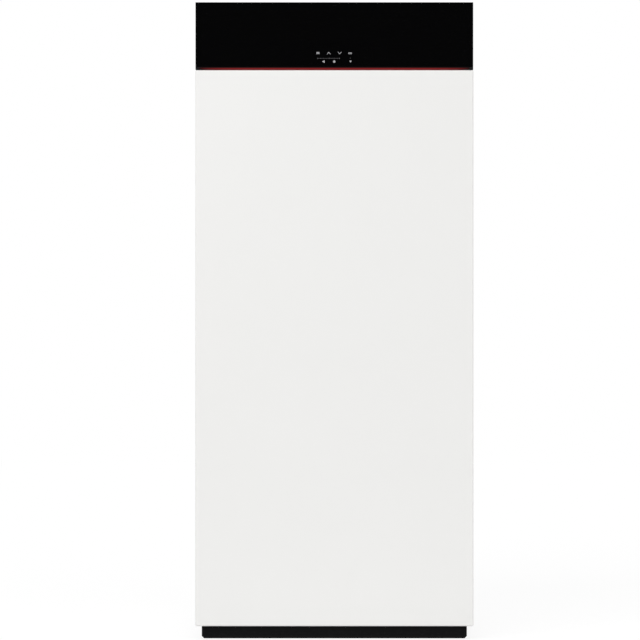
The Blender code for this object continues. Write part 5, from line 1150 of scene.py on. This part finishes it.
for node, corners in RUNS.items():
    is_gas = node == "gas_pipe"
    width = GAS_PIPE if is_gas else PIPE
    bore = None if node in BOILER_SIDE else (width - 0.0015, 0.015)
    line = swept(bmesh.new(), bent(corners, FORMER, 12), width, 32, bore)
    fit(f"{node}_bent", line, GALVANISED if is_gas else COPPER, node, smooth=40)


def union_nut(radius=0.0168, length=0.017, collar=0.0132, tail=0.006):
    """A hexagon union nut with a round tail towards the pipe."""
    shape = turned(bmesh.new(), hexagon(radius, 0.0, length, 0.0012), sides=6)
    turned(shape, [(0, length - 0.0005), (collar, length - 0.0005)] + mm((0, -1), (-1, 0),
        out=collar, up=length + tail) + [(0, length + tail)], sides=32)
    return shape


unions = [corners[:2] for node, corners in RUNS.items() if node not in ("cold_water_pipe",
    "gas_pipe")] + [RUNS[node][:-3:-1] for node in BOILER_SIDE]
unions.append([(.034, .033, .7062), (.034, .033, 1)])
planted("pipe_union_nuts", union_nut(), [place for place, toward in unions],
    [Vector(toward) - Vector(place) for place, toward in unions], BRASS, smooth=28)
planted("gas_union_nut", union_nut(0.014, 0.014, 0.0112, 0.005), [RUNS["gas_pipe"][0]], UP, ZINC,
    smooth=28)

# Cross rail. A channel of zinc-coated sheet across the casing's front carries the control
# housing and, on its two ears, the pins that the fascia swings on.
fit("cross_rail_channel", "cross_rail", GALVANISED, soften=0.0003)
low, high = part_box("cross_rail")
web_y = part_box("hydraulic_shelf")[0].y
planted("cross_rail_screws", pan_screw(0.004, 0.002), [(side, web_y, low.z + 0.0125)
    for side in (low.x + 0.02, high.x - 0.02)], TO_FRONT, ZINC)

# Control housing. A deep tray moulded in grey plastic with ribs down its front, holding the main
# circuit board; the mains switch sits in its front wall behind the fascia.
HOUSING_GREY = moulded("housing_moulding", (0.085, 0.087, 0.092), 0.48, slot="grey_plastic")
fit("control_housing_tray", "control_housing", HOUSING_GREY, soften=0.0008)
low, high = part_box("control_housing")
switch_low, switch_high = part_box("power_switch_rocker")
switch = (switch_low + switch_high) / 2
ridges = bmesh.new()
for side in range(10):
    along = low.x + 0.03 + side * 0.026
    block(ridges, (along - 0.0009, low.y - 0.0014, low.z + 0.012), (along + 0.0009, low.y + 0.0004,
        high.z - 0.012), 0.0005, 2)
block(ridges, (low.x + 0.01, low.y - 0.0016, high.z - 0.008), (high.x - 0.01, low.y + 0.0004,
    high.z - 0.005), 0.0006, 2)
fit("control_housing_ridges", ridges, HOUSING_GREY)
bezel = bmesh.new()
for one, two in (((-0.0095, -0.013), (-0.0068, 0.013)), ((0.0068, -0.013), (0.0095, 0.013)),
        ((-0.0068, -0.013), (0.0068, -0.01)), ((-0.0068, 0.01), (0.0068, 0.013))):
    block(bezel, (switch.x + one[0], low.y - 0.0016, switch.z + one[1]),
        (switch.x + two[0], low.y + 0.0002, switch.z + two[1]), 0.0004, 2)
fit("power_switch_bezel", bezel, BLACK_PLASTIC)
carried(moulded("rocker_moulding", (0.012, 0.012, 0.013), 0.3), "power_switch_rocker")
planted("control_housing_screws", pan_screw(0.0034, 0.002),
    list(product((low.x + 0.016, high.x - 0.016), (low.y,), (high.z - 0.014, low.z + 0.01))),
    TO_FRONT, ZINC)

# Main circuit board. Green epoxy with tinned tracks under the lacquer; relays, capacitors, a
# transformer and a row of lead sockets along its front edge.
def board_finish(name):
    """Lacquered board: tracks run in lanes across it between tinned pads."""
    paint = Paint(name, "board_green", Coat_Weight=0.5, Coat_Roughness=0.12)
    lanes = paint.cells(0.0042, "DISTANCE_TO_EDGE", (1, 0.35, 1))
    track = (lanes * 9.0 - 0.35).held()
    dots = (1.0 - paint.cells(0.005) * 4.5).held()
    tone = paint.blend(track, (0.016, 0.105, 0.045), (0.006, 0.05, 0.022))
    tone = paint.blend(dots, tone, (0.42, 0.43, 0.42))
    return paint.made_of(tone, 0.35 + 0.12 * track, height=track, depth=0.00003)


BOARD_GREEN = board_finish("lacquered_board")
carried(BOARD_GREEN, "touch_board")
board_low, board_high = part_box("main_circuit_board")
top_of_board = board_low.z + 0.0016
fit("main_board_panel", block(bmesh.new(), board_low, (*board_high.xy, top_of_board), 0.0003, 1),
    BOARD_GREEN, "main_circuit_board")
BOARD_PARTS = {
    "relays": ((0.06, 0.062, 0.066), [(share, 0.62, 0.028, 0.012, 0.015)
        for share in (0.3, 0.4, 0.5)]),
    "transformer": ((0.03, 0.024, 0.02), [(0.86, 0.66, 0.042, 0.036, 0.032)]),
    "sockets": ((0.62, 0.61, 0.56), [(0.1 + step * 0.11, 0.1, 0.024, 0.01, 0.012)
        for step in range(7)]),
    "chips": ((0.008, 0.008, 0.009), [(0.2, 0.42, 0.016, 0.016, 0.0024),
        (0.62, 0.36, 0.01, 0.007, 0.002), (0.56, 0.36, 0.01, 0.007, 0.002)])}
for label, (colour, parts) in BOARD_PARTS.items():
    shape = bmesh.new()
    for share_x, share_y, wide, deep, tall in parts:
        at_x = board_low.x + (board_high.x - board_low.x) * share_x
        at_y = board_low.y + (board_high.y - board_low.y) * share_y
        block(shape, (at_x - wide / 2, at_y - deep / 2, top_of_board + 0.0001),
            (at_x + wide / 2, at_y + deep / 2, top_of_board + tall), 0.0006, 2)
    fit(f"main_board_{label}", shape, moulded(f"board_{label}_moulding", colour, 0.45))
cans = bmesh.new()
for share_x, share_y, radius, tall in ((0.68, 0.72, 0.008, 0.022), (0.74, 0.46, 0.006, 0.016),
        (0.7, 0.28, 0.005, 0.012), (0.12, 0.74, 0.008, 0.022)):
    turned(cans, [(0, top_of_board + 0.0001)] + mm((0, 0.1), (0, 2), (-0.5, 2.6), (0, 3.2),
        out=radius, up=top_of_board) + mm((0, -0.6), (-0.6, 0), out=radius, up=top_of_board + tall)
        + [(0, top_of_board + tall)], (board_low.x + (board_high.x - board_low.x) * share_x,
        board_low.y + (board_high.y - board_low.y) * share_y, 0), sides=28)
fit("main_board_capacitors", cans, CAST)


# Casing. Side, rear and top panels folded from 1.2 mm steel and powder-coated white; they hook on
# the tray and are screwed at the back. The coat has a faint orange peel and a satin shine.
def powder_coat(name, colour):
    """White powder coat: a fine orange peel over soft waviness, barely cloudy, satin."""
    paint = Paint(name, "white_paint", Specular_IOR_Level=0.38)
    peel = paint.cloud(0.0016, 2.0, 0.5)
    wave = paint.cloud(0.012, 1.0, 0.5)
    patches = paint.cloud(0.23, 3.0, 0.55)
    return paint.made_of(paint.blend(patches, toned(colour, 0.99), toned(colour, 1.006)),
        paint.between(paint.cloud(0.04, 3.0, 0.6), 0.4, 0.5), height=peel * 0.6 + wave * 0.4,
        depth=0.00003)


WHITE_COAT = powder_coat("white_powder_coat", (0.875, 0.872, 0.858))
for node in ("left_side_panel", "right_side_panel", "rear_panel", "top_panel"):
    fit(f"{node}_sheet", node, WHITE_COAT, smooth=50)
low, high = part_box("rear_panel")
FLUSH = 0.00004    # the heads are let in level with the sheet
rear_face = high.y
spots = list(product((low.x + 0.01, high.x - 0.01), (rear_face,), (low.z + 0.03, 0.36, 0.69, 1.02,
    high.z - 0.03)))
top_low, top_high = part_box("top_panel")
spots += product((-0.25, -0.085, 0.085, 0.25), (rear_face,), (top_low.z + 0.01,))
planted("rear_panel_screws", pan_screw(0.0042, FLUSH), spots, TO_REAR, ZINC)

# Grommets. Black rubber rings line the holes where pipes pass the top and where the hose passes the
# rear panel, so that no air leaks past them; the mains lead has a gland.
TOP_FACE = top_high.z
grommets = bmesh.new()
for node, corners in RUNS.items():
    if node in BOILER_SIDE:
        continue
    width = GAS_PIPE if node == "gas_pipe" else PIPE
    at = (corners[-1][0], corners[-1][1], TOP_FACE)
    turned(grommets, mm((0.1, 4), (1.2, 4.4), (2.2, 2.6), (5.2, 1.6), (5.8, 1), (5.6, 0.1),
        (1.9, 0.1), (1.9, -1.4), (5.6, -1.4), (5.6, -2.6), (0.1, -2.6), out=width), at, sides=48)
fit("top_grommets", grommets, RUBBER, smooth=50)
hose_ring = turned(bmesh.new(), mm((0.1, -4), (6, -4), (6, -1.3), (1.9, -1.3), (1.9, -0.1),
    (0.1, -0.1), out=hose_radius), (0, rear_face, hose_z), "Y", 48)
fit("hose_grommet", hose_ring, RUBBER, smooth=50)
fit("mains_lead_gland", "cable_gland", BLACK_PLASTIC, smooth=40)

# Flue collar. Two black tubes one inside the other: burnt gas leaves by the inner one and fresh
# air enters round it. Its flange sits on a soft gasket, with four screws and two test points.
low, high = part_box("flue_collar")
collar_at = upright("flue_collar")
outer, flange = 0.051, (high.x - low.x) / 2
collar = turned(bmesh.new(), mm((-2.4, -0.4), (-1.8, 0), (-0.4, 0), (0, -0.5), (0, -5), (1.2, -5.6),
    (1.2, -8.5), (0, -9.1), out=outer, up=high.z) + mm((0, 7.5), (1.2, 5), (3.6, 3.4), out=outer,
    up=TOP_FACE) + mm((-1, 3.3), (0, 2.4), (0, 0.8), out=flange, up=TOP_FACE)
    + [(outer, TOP_FACE + 0.0008), (outer, low.z), (outer - 0.002, low.z),
    (outer - 0.002, high.z - 0.01)], collar_at, sides=112)
socket_in, socket_out = 0.0305, 0.03245
turned(collar, mm((0, -0.4), (0.5, 0), out=socket_in, up=high.z) + mm((-0.4, 0), (0, -0.4), (0, -6),
    (1.6, -6.8), (1.6, -13), (0, -13.8), out=socket_out, up=high.z) + [(socket_out, low.z),
    (socket_in, low.z)], collar_at, sides=96)
rib = block(bmesh.new(), (socket_out - 0.0005, -0.0015, low.z), (outer - 0.0015, 0.0015, TOP_FACE),
    0.0004, 1)
copied(collar, rib, [Matrix.Translation(collar_at) @ Matrix.Rotation(radians(bearing), 4, "Z")
    for bearing in (90, 210, 330)])
fit("flue_collar_moulding", collar, BLACK_PLASTIC, "flue_collar", smooth=28)
lips = turned(bmesh.new(), mm((0.2, -7.5), (-1.2, -9), (0.2, -9.8), out=socket_in, up=high.z),
    collar_at, sides=96)
turned(lips, mm((-1.9, -5.5), (-3.4, -7.2), (-1.9, -8.2), out=outer, up=high.z), collar_at,
    sides=96)
fit("flue_collar_lip_seals", lips, RUBBER, smooth=50)
pad = turned(bmesh.new(), [(outer + 0.0002, TOP_FACE + 0.0001)] + mm((1.6, 0.1), (1.6, 0.7),
    out=flange, up=TOP_FACE) + [(outer + 0.0002, TOP_FACE + 0.0007)], collar_at, sides=112)
fit("flue_collar_gasket", pad, RUBBER)
COLLAR_SCREW_CIRCLE = 0.0675
planted("flue_collar_screws", pan_screw(0.004, 0.0024),
    round_places((*collar_at.xy, TOP_FACE + 0.0034), COLLAR_SCREW_CIRCLE, range(45, 405, 90)), UP,
    ZINC)
caps = bmesh.new()
for side in (-0.0645, 0.0645):
    cap_at = (collar_at[0] + side, collar_at[1], TOP_FACE + 0.0032)
    turned(caps, mm((0, 0), (7.8, 0), (7.8, 5.8), (7, 6.6), (6.6, 6.8), (5.8, 12.8), (5, 13.8),
        (0, 13.8)), cap_at, sides=40)
    block(caps, (cap_at[0] - 0.0046, cap_at[1] - 0.0009, cap_at[2] + 0.013),
        (cap_at[0] + 0.0046, cap_at[1] + 0.0009, cap_at[2] + 0.0158), 0.0005, 2)
fit("flue_test_point_caps", caps, FAN_GREY, smooth=30)


# Fascia. A sheet of black glass with ground edges is bonded to a moulded carrier, which swings
# forwards on two steel pins. The display and the touch board sit behind the glass.
FASCIA = "fascia"
low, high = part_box("fascia_glass")


def dark_glass(name):
    """Black-backed glass: nearly mirror smooth, with faint wiping marks in its shine."""
    paint = Paint(name, "black_glass", IOR=1.45, Specular_IOR_Level=0.42)
    wiped = paint.cloud(0.09, 4.0, 0.6, (1, 1, 2.2))
    deep = paint.cloud(0.3, 2.0)
    return paint.made_of(paint.blend(deep, (0.0016, 0.0016, 0.0017), (0.002, 0.002, 0.0022)),
        paint.between(wiped, 0.03, 0.075))


BLACK_GLASS = dark_glass("black_backed_glass")
fit("fascia_glass_sheet", block(bmesh.new(), low, high, 0.0003, 2), BLACK_GLASS, "fascia_glass",
    smooth=60, body=FASCIA)
fit("fascia_carrier_moulding", "fascia_carrier", BLACK_PLASTIC, soften=0.0004, body=FASCIA)
carried(moulded("display_moulding", (0.012, 0.012, 0.014), 0.22), "display_module")
carried(metal("ground_pin_steel", (0.6, 0.59, 0.57), 0.2, 0.0008, (0.1, 1, 1)), "hinge_pin_left",
    "hinge_pin_right")
carrier_low, carrier_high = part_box("fascia_carrier")
display_low, display_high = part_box("display_module")
board_low, board_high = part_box("touch_board")
inner_face = board_low.y - 0.0003
ribs = bmesh.new()
for side in (-1, 1):
    outer, inner = side * (carrier_high.x - 0.0028), side * 0.068
    for across in (0.068, 0.125, 0.182, 0.239):
        block(ribs, (side * across - 0.0008, inner_face - 0.0002, carrier_low.z + 0.0115),
            (side * across + 0.0008, inner_face + 0.0095, carrier_high.z - 0.0028), 0.0004, 1)
    for level in (0.034, 0.071, 0.108):
        block(ribs, (min(inner, outer), inner_face - 0.0002, carrier_low.z + level - 0.0008),
            (max(inner, outer), inner_face + 0.008, carrier_low.z + level + 0.0008), 0.0004, 1)
fit("fascia_carrier_ribs", ribs, BLACK_PLASTIC, body=FASCIA)
shield = slab(bmesh.new(), (display_low.x + 0.002, display_high.y - 0.0002, display_low.z + 0.002),
    (display_high.x - 0.002, display_high.y + 0.0008, display_high.z - 0.002), 0.0025, 0.0003, 4)
fit("display_shield", shield, GALVANISED, smooth=30, body=FASCIA)
planted("fascia_board_screws", pan_screw(0.0024, 0.0014),
    [*product((-0.041, 0.041), (display_high.y + 0.0008,),
    (display_low.z + 0.006, display_high.z - 0.006)), *product((-0.056, 0.056), (board_high.y,),
    (board_low.z + 0.004, board_high.z - 0.004))], TO_REAR, ZINC, body=FASCIA)
SOCKET_WHITE = moulded("socket_moulding", (0.6, 0.59, 0.54), 0.4, slot="white_ceramic")
sockets, chips = bmesh.new(), bmesh.new()
for across, half_wide, level in ((0, 0.012, 0.004), (-0.044, 0.004, 0.0045)):
    block(sockets, (across - half_wide, board_high.y - 0.0002, board_low.z + level),
        (across + half_wide, board_high.y + 0.0065, board_low.z + level + 0.007), 0.0006, 2)
for across, level, wide, tall in ((-0.022, 0.022, 0.009, 0.009), (0.024, 0.021, 0.007, 0.007),
        (0.04, 0.021, 0.005, 0.004), (0.04, 0.012, 0.003, 0.0016), (0.033, 0.012, 0.003, 0.0016),
        (-0.04, 0.025, 0.003, 0.0016)):
    block(chips, (across - wide / 2, board_high.y - 0.0001, board_low.z + level - tall / 2),
        (across + wide / 2, board_high.y + 0.0011, board_low.z + level + tall / 2), 0.0002, 1)
fit("touch_board_sockets", sockets, SOCKET_WHITE, body=FASCIA)
fit("touch_board_chips", chips, BLACK_PLASTIC, body=FASCIA)
lead_y, lead_z = display_high.y + 0.0008, board_low.z + 0.008
ribbon = mm((0.1, 12), (0.5, -1), (2.8, -10), out=lead_y, up=display_low.z) + [(lead_y + 0.003,
    lead_z + 0.012)] + mm((6.8, 2), (6.6, -3), out=board_high.y, up=lead_z)
flat = prism(bmesh.new(), ribbon + [(y - 0.0003, z) for y, z in reversed(ribbon)], -0.0085, 0.0085,
    "X")
fit("display_lead", flat, SOCKET_WHITE, smooth=60, body=FASCIA)
light_board = block(bmesh.new(), (-0.27, inner_face + 0.0001, carrier_low.z + 0.0034),
    (0.27, inner_face + 0.0011, carrier_low.z + 0.0092), 0.0002, 1)
fit("light_board", light_board, BOARD_GREEN, body=FASCIA)
stacked("light_board_drivers",
    block(bmesh.new(), (-0.254, inner_face + 0.001, carrier_low.z + 0.0055),
    (-0.2508, inner_face + 0.0018, carrier_low.z + 0.0071), 0.0002, 1), 18, (0.0297, 0, 0),
    BLACK_PLASTIC, body=FASCIA)

# Touch signs. Grey ceramic ink printed on the glass, 0.02 mm thick: a menu sign, two chevrons and
# OK in the upper row, a ruled scale with a pointer, and two triangles and a dot below.
GLASS_FACE, GLASS_TOP = low.y, high.z
INK = 0.00002


def printed(name, ink):
    """Fired grey ink, a little uneven where the screen laid it thin."""
    paint = Paint(name, "sign_print", Specular_IOR_Level=0.3)
    screen = paint.cloud(0.0012, 3.0, 0.6)
    return paint.made_of(paint.blend(screen, toned(ink, 0.88), ink), 0.55 + 0.1 * screen)


def sign(shape, across, below, outline):
    """An inked outline: across from the glass's middle, below its top edge, both in mm."""
    prism(shape, [((across + x) / 1000, GLASS_TOP + (z - below) / 1000) for x, z in outline],
        GLASS_FACE - INK, GLASS_FACE + INK)


def bar(x, z, wide, tall):
    return [(x - wide / 2, z - tall / 2), (x + wide / 2, z - tall / 2),
        (x + wide / 2, z + tall / 2), (x - wide / 2, z + tall / 2)]


signs = bmesh.new()
for lift in (-1.55, 0.0, 1.55):
    sign(signs, -35.3, 109.5, bar(0, lift, 6.9, 0.95))
for across, way in ((-12.0, 1), (11.4, -1)):
    sign(signs, across, 109.6, [(-4.1, -2.1 * way), (-3.4, -2.8 * way), (0, 1.0 * way),
        (3.4, -2.8 * way), (4.1, -2.1 * way), (0, 2.5 * way)][::way])
for across, below, radius, hole in ((32.0, 109.9, 1.9, 1.0), (-0.3, 127.9, 2.5, 0)):
    turned(signs, [(hole / 1000, -INK), (radius / 1000, -INK), (radius / 1000, INK),
        (hole / 1000, INK)], (across / 1000, GLASS_FACE, GLASS_TOP - below / 1000), "Y", 32)
sign(signs, 36.0, 109.9, bar(-1.15, 0, 0.9, 3.9))
sign(signs, 36.0, 109.9, [(-0.7, -0.75), (-0.7, 0.35), (0.92, 1.95), (2.1, 1.95), (0.32, 0.234),
    (2.2, -1.95), (1.0, -1.95), (-0.35, -0.412)])
sign(signs, -23.4, 127.8, [(-3.1, 0), (2.3, -2.9), (2.3, 2.9)])
sign(signs, 34.8, 127.8, [(0, -2.4), (2.5, 1.9), (-2.5, 1.9)])
fit("touch_signs", signs, printed("grey_sign_ink", (0.46, 0.46, 0.47)), smooth=30, body=FASCIA)
ruled = bmesh.new()
ticks = [(-36.1, 0.55, 2.9)] + [(across, 0.45, 1.4) for across in (-29.9, -23.6, -17.4)] + [(-11.1,
    0.55, 2.9)] + [(across, 0.45, 1.4) for across in (-5.6, 0, 5.6)] + [(11.1, 0.55, 2.9)]
for across, half_wide, tall in ticks:
    sign(ruled, 0, 120.9, bar(across, 0, half_wide * 2, tall))
for (one, one_half, _), (two, two_half, _) in zip(ticks, ticks[1:]):
    start, end = one + one_half, two - two_half
    sign(ruled, 0, 120.9, bar((start + end) / 2, 0, end - start, 0.5))
sign(ruled, 34.6, 120.2, [(0, 1.1), (-0.9, -0.9), (0.9, -0.9)])
fit("touch_scale", ruled, printed("faint_sign_ink", (0.085, 0.085, 0.088)), smooth=30, body=FASCIA)

# Light strip. A rod of clear acrylic under the glass is lit red through its back. Its lower front
# edge is rounded to pass the front panel, and thin tongues on its ends wrap the carrier's corner;
# their light is painted, and it dims along them. Painted shade darkens the strip towards its top
# and under the edge of the glass.
low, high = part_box("light_strip")
TONGUE = 0.013
half = high.x + TONGUE


def light_guide(name):
    """Red-lit acrylic: even along its middle, falling off at both ends, with painted shade under
    the glass.
    """
    paint = Paint(name, "red_light_guide", Emission_Strength=1.0, Specular_IOR_Level=0.06)
    along = paint.across("X")
    from_end = half - along.sum("ABSOLUTE", along)
    ends = 1.0 - from_end.sum("EXPONENT", from_end * (-1 / 0.029))
    below_top = (high.z - paint.across("Z")) / (high.z - low.z)
    # Painted shade: the strip's light and colour are cut off under the glass's edge and made darker
    # towards its top.
    shaded = ((below_top - 0.18) / 0.2).held()
    even = paint.cloud(0.03, 2.0)
    glow_with_painted_shade = ends * (0.94 + 0.06 * even) * shaded * (0.62 + 0.38 * below_top)
    lit = paint.blend(glow_with_painted_shade, (0.006, 0.0002, 0.0006), (0.228, 0.0138, 0.015))
    paint.plug(lit, paint.shader.inputs["Emission Color"])
    # The base colour follows the same mask, so it carries the painted shade too.
    return paint.made_of(paint.blend(glow_with_painted_shade, (0.006, 0.001, 0.001), (0.02, 0.002, 0.002)),
        0.3 + 0.1 * even)


ROUNDING, TONGUE_THICKNESS, TONGUE_ROUND_TO = 0.0044, 0.0004, 70


def strip_front(inset, round_to=90, steps=10):
    """The strip's front from its top round its foot as (y, z), set back by the inset."""
    reach = ROUNDING - inset
    turns = [radians(round_to * step / steps) for step in range(steps + 1)]
    return [(low.y + inset, high.z)] + [(low.y + ROUNDING - reach * cos(turn),
        low.z + ROUNDING - reach * sin(turn)) for turn in turns]


rod = prism(bmesh.new(), strip_front(-INK) + [(high.y, low.z - INK), (high.y, high.z)], low.x,
    high.x, "X")
# The tongues are painted light: thin glowing sheets on the carrier's corner, past the rod's real
# ends.
for end in (-1, 1):
    prism(rod, strip_front(-INK, TONGUE_ROUND_TO) + strip_front(TONGUE_THICKNESS,
        TONGUE_ROUND_TO)[::-1], *sorted((end * half, end * (high.x + 0.00005))), "X")
fit("light_strip_rod", rod, light_guide("red_lit_acrylic"), "light_strip", smooth=50, body=FASCIA)


# Front panel. A shallow pan of 1.2 mm steel, powder-coated white, held by four spring catches. A
# grey fleece mat is glued inside it, and two rubber strips on the casing close the gap behind it.
PANEL = "front_panel"
fit("front_panel_sheet", "front_panel", WHITE_COAT, smooth=50, body=PANEL)
low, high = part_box("front_panel_insulation")


def fleece(name, colour):
    """Pressed fleece: short tangled fibres, speckled light and dark, with no shine."""
    paint = Paint(name, "grey_foam", Sheen_Weight=0.3, Sheen_Roughness=0.6, Specular_IOR_Level=0.15)
    tangle = paint.cloud(0.0016, 4.0, 0.7)
    strands = paint.cloud(0.004, 5.0, 0.75, (0.35, 1, 1))
    cross = paint.cloud(0.004, 5.0, 0.75, (1, 1, 0.35))
    web = (strands + cross) * 0.5
    patches = paint.cloud(0.14, 3.0)
    tone = paint.blend(web, toned(colour, 0.72), toned(colour, 1.22))
    tone = paint.blend(patches * 0.4, tone, colour)
    return paint.made_of(tone, paint.between(tangle, 0.88, 0.98), height=web * 0.6 + tangle * 0.4,
        depth=0.0011)


GREY_FLEECE = fleece("grey_pressed_fleece", (0.115, 0.118, 0.125))
COLUMNS, ROWS = 80, 160
mat, rings = bmesh.new(), []
for row in range(ROWS + 1):
    line = []
    for column in range(COLUMNS, -1, -1):
        x = low.x + (high.x - low.x) * column / COLUMNS
        z = low.z + (high.z - low.z) * row / ROWS
        edge = min(x - low.x, high.x - x, z - low.z, high.z - z)
        swell = 1 - exp(-edge / 0.012)
        pocket = abs(sin(pi * (x - low.x) / (high.x - low.x) * 5)) ** 0.4
        pocket *= abs(sin(pi * (z - low.z) / (high.z - low.z) * 10)) ** 0.4
        thick = 0.0072 + (high.y - low.y - 0.0074) * swell * (0.45 + 0.55 * pocket)
        line.append((x, low.y + thick, z))
    flat = [(x, low.y, z) for x, y, z in reversed(line)]
    rings.append([mat.verts.new(point) for point in line + flat])
skinned(mat, rings, capped=True)
fleece_mat = fit("front_panel_fleece", mat, GREY_FLEECE, "front_panel_insulation", smooth=80,
    body=PANEL)

panel_low, panel_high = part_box("front_panel")
catches = bmesh.new()
for side in (-1, 1):
    for level in (panel_low.z + 0.12, panel_high.z - 0.1):
        x = side * (panel_high.x - 0.0085)
        block(catches, (x - 0.0045, panel_high.y - 0.02, level - 0.012),
            (x + 0.0045, panel_high.y - 0.0006, level + 0.012), 0.0012, 2)
fit("front_panel_catches", catches, BLACK_PLASTIC, smooth=30, body=PANEL)

rim_seal = bmesh.new()
for side in (-1, 1):
    x = side * (panel_high.x - 0.0075)
    block(rim_seal, (x - 0.004, panel_high.y + 0.0001, panel_low.z + 0.004),
        (x + 0.004, panel_high.y + 0.00085, panel_high.z - 0.004), 0.0003, 2)
fit("casing_rim_seal", rim_seal, RUBBER, smooth=50)
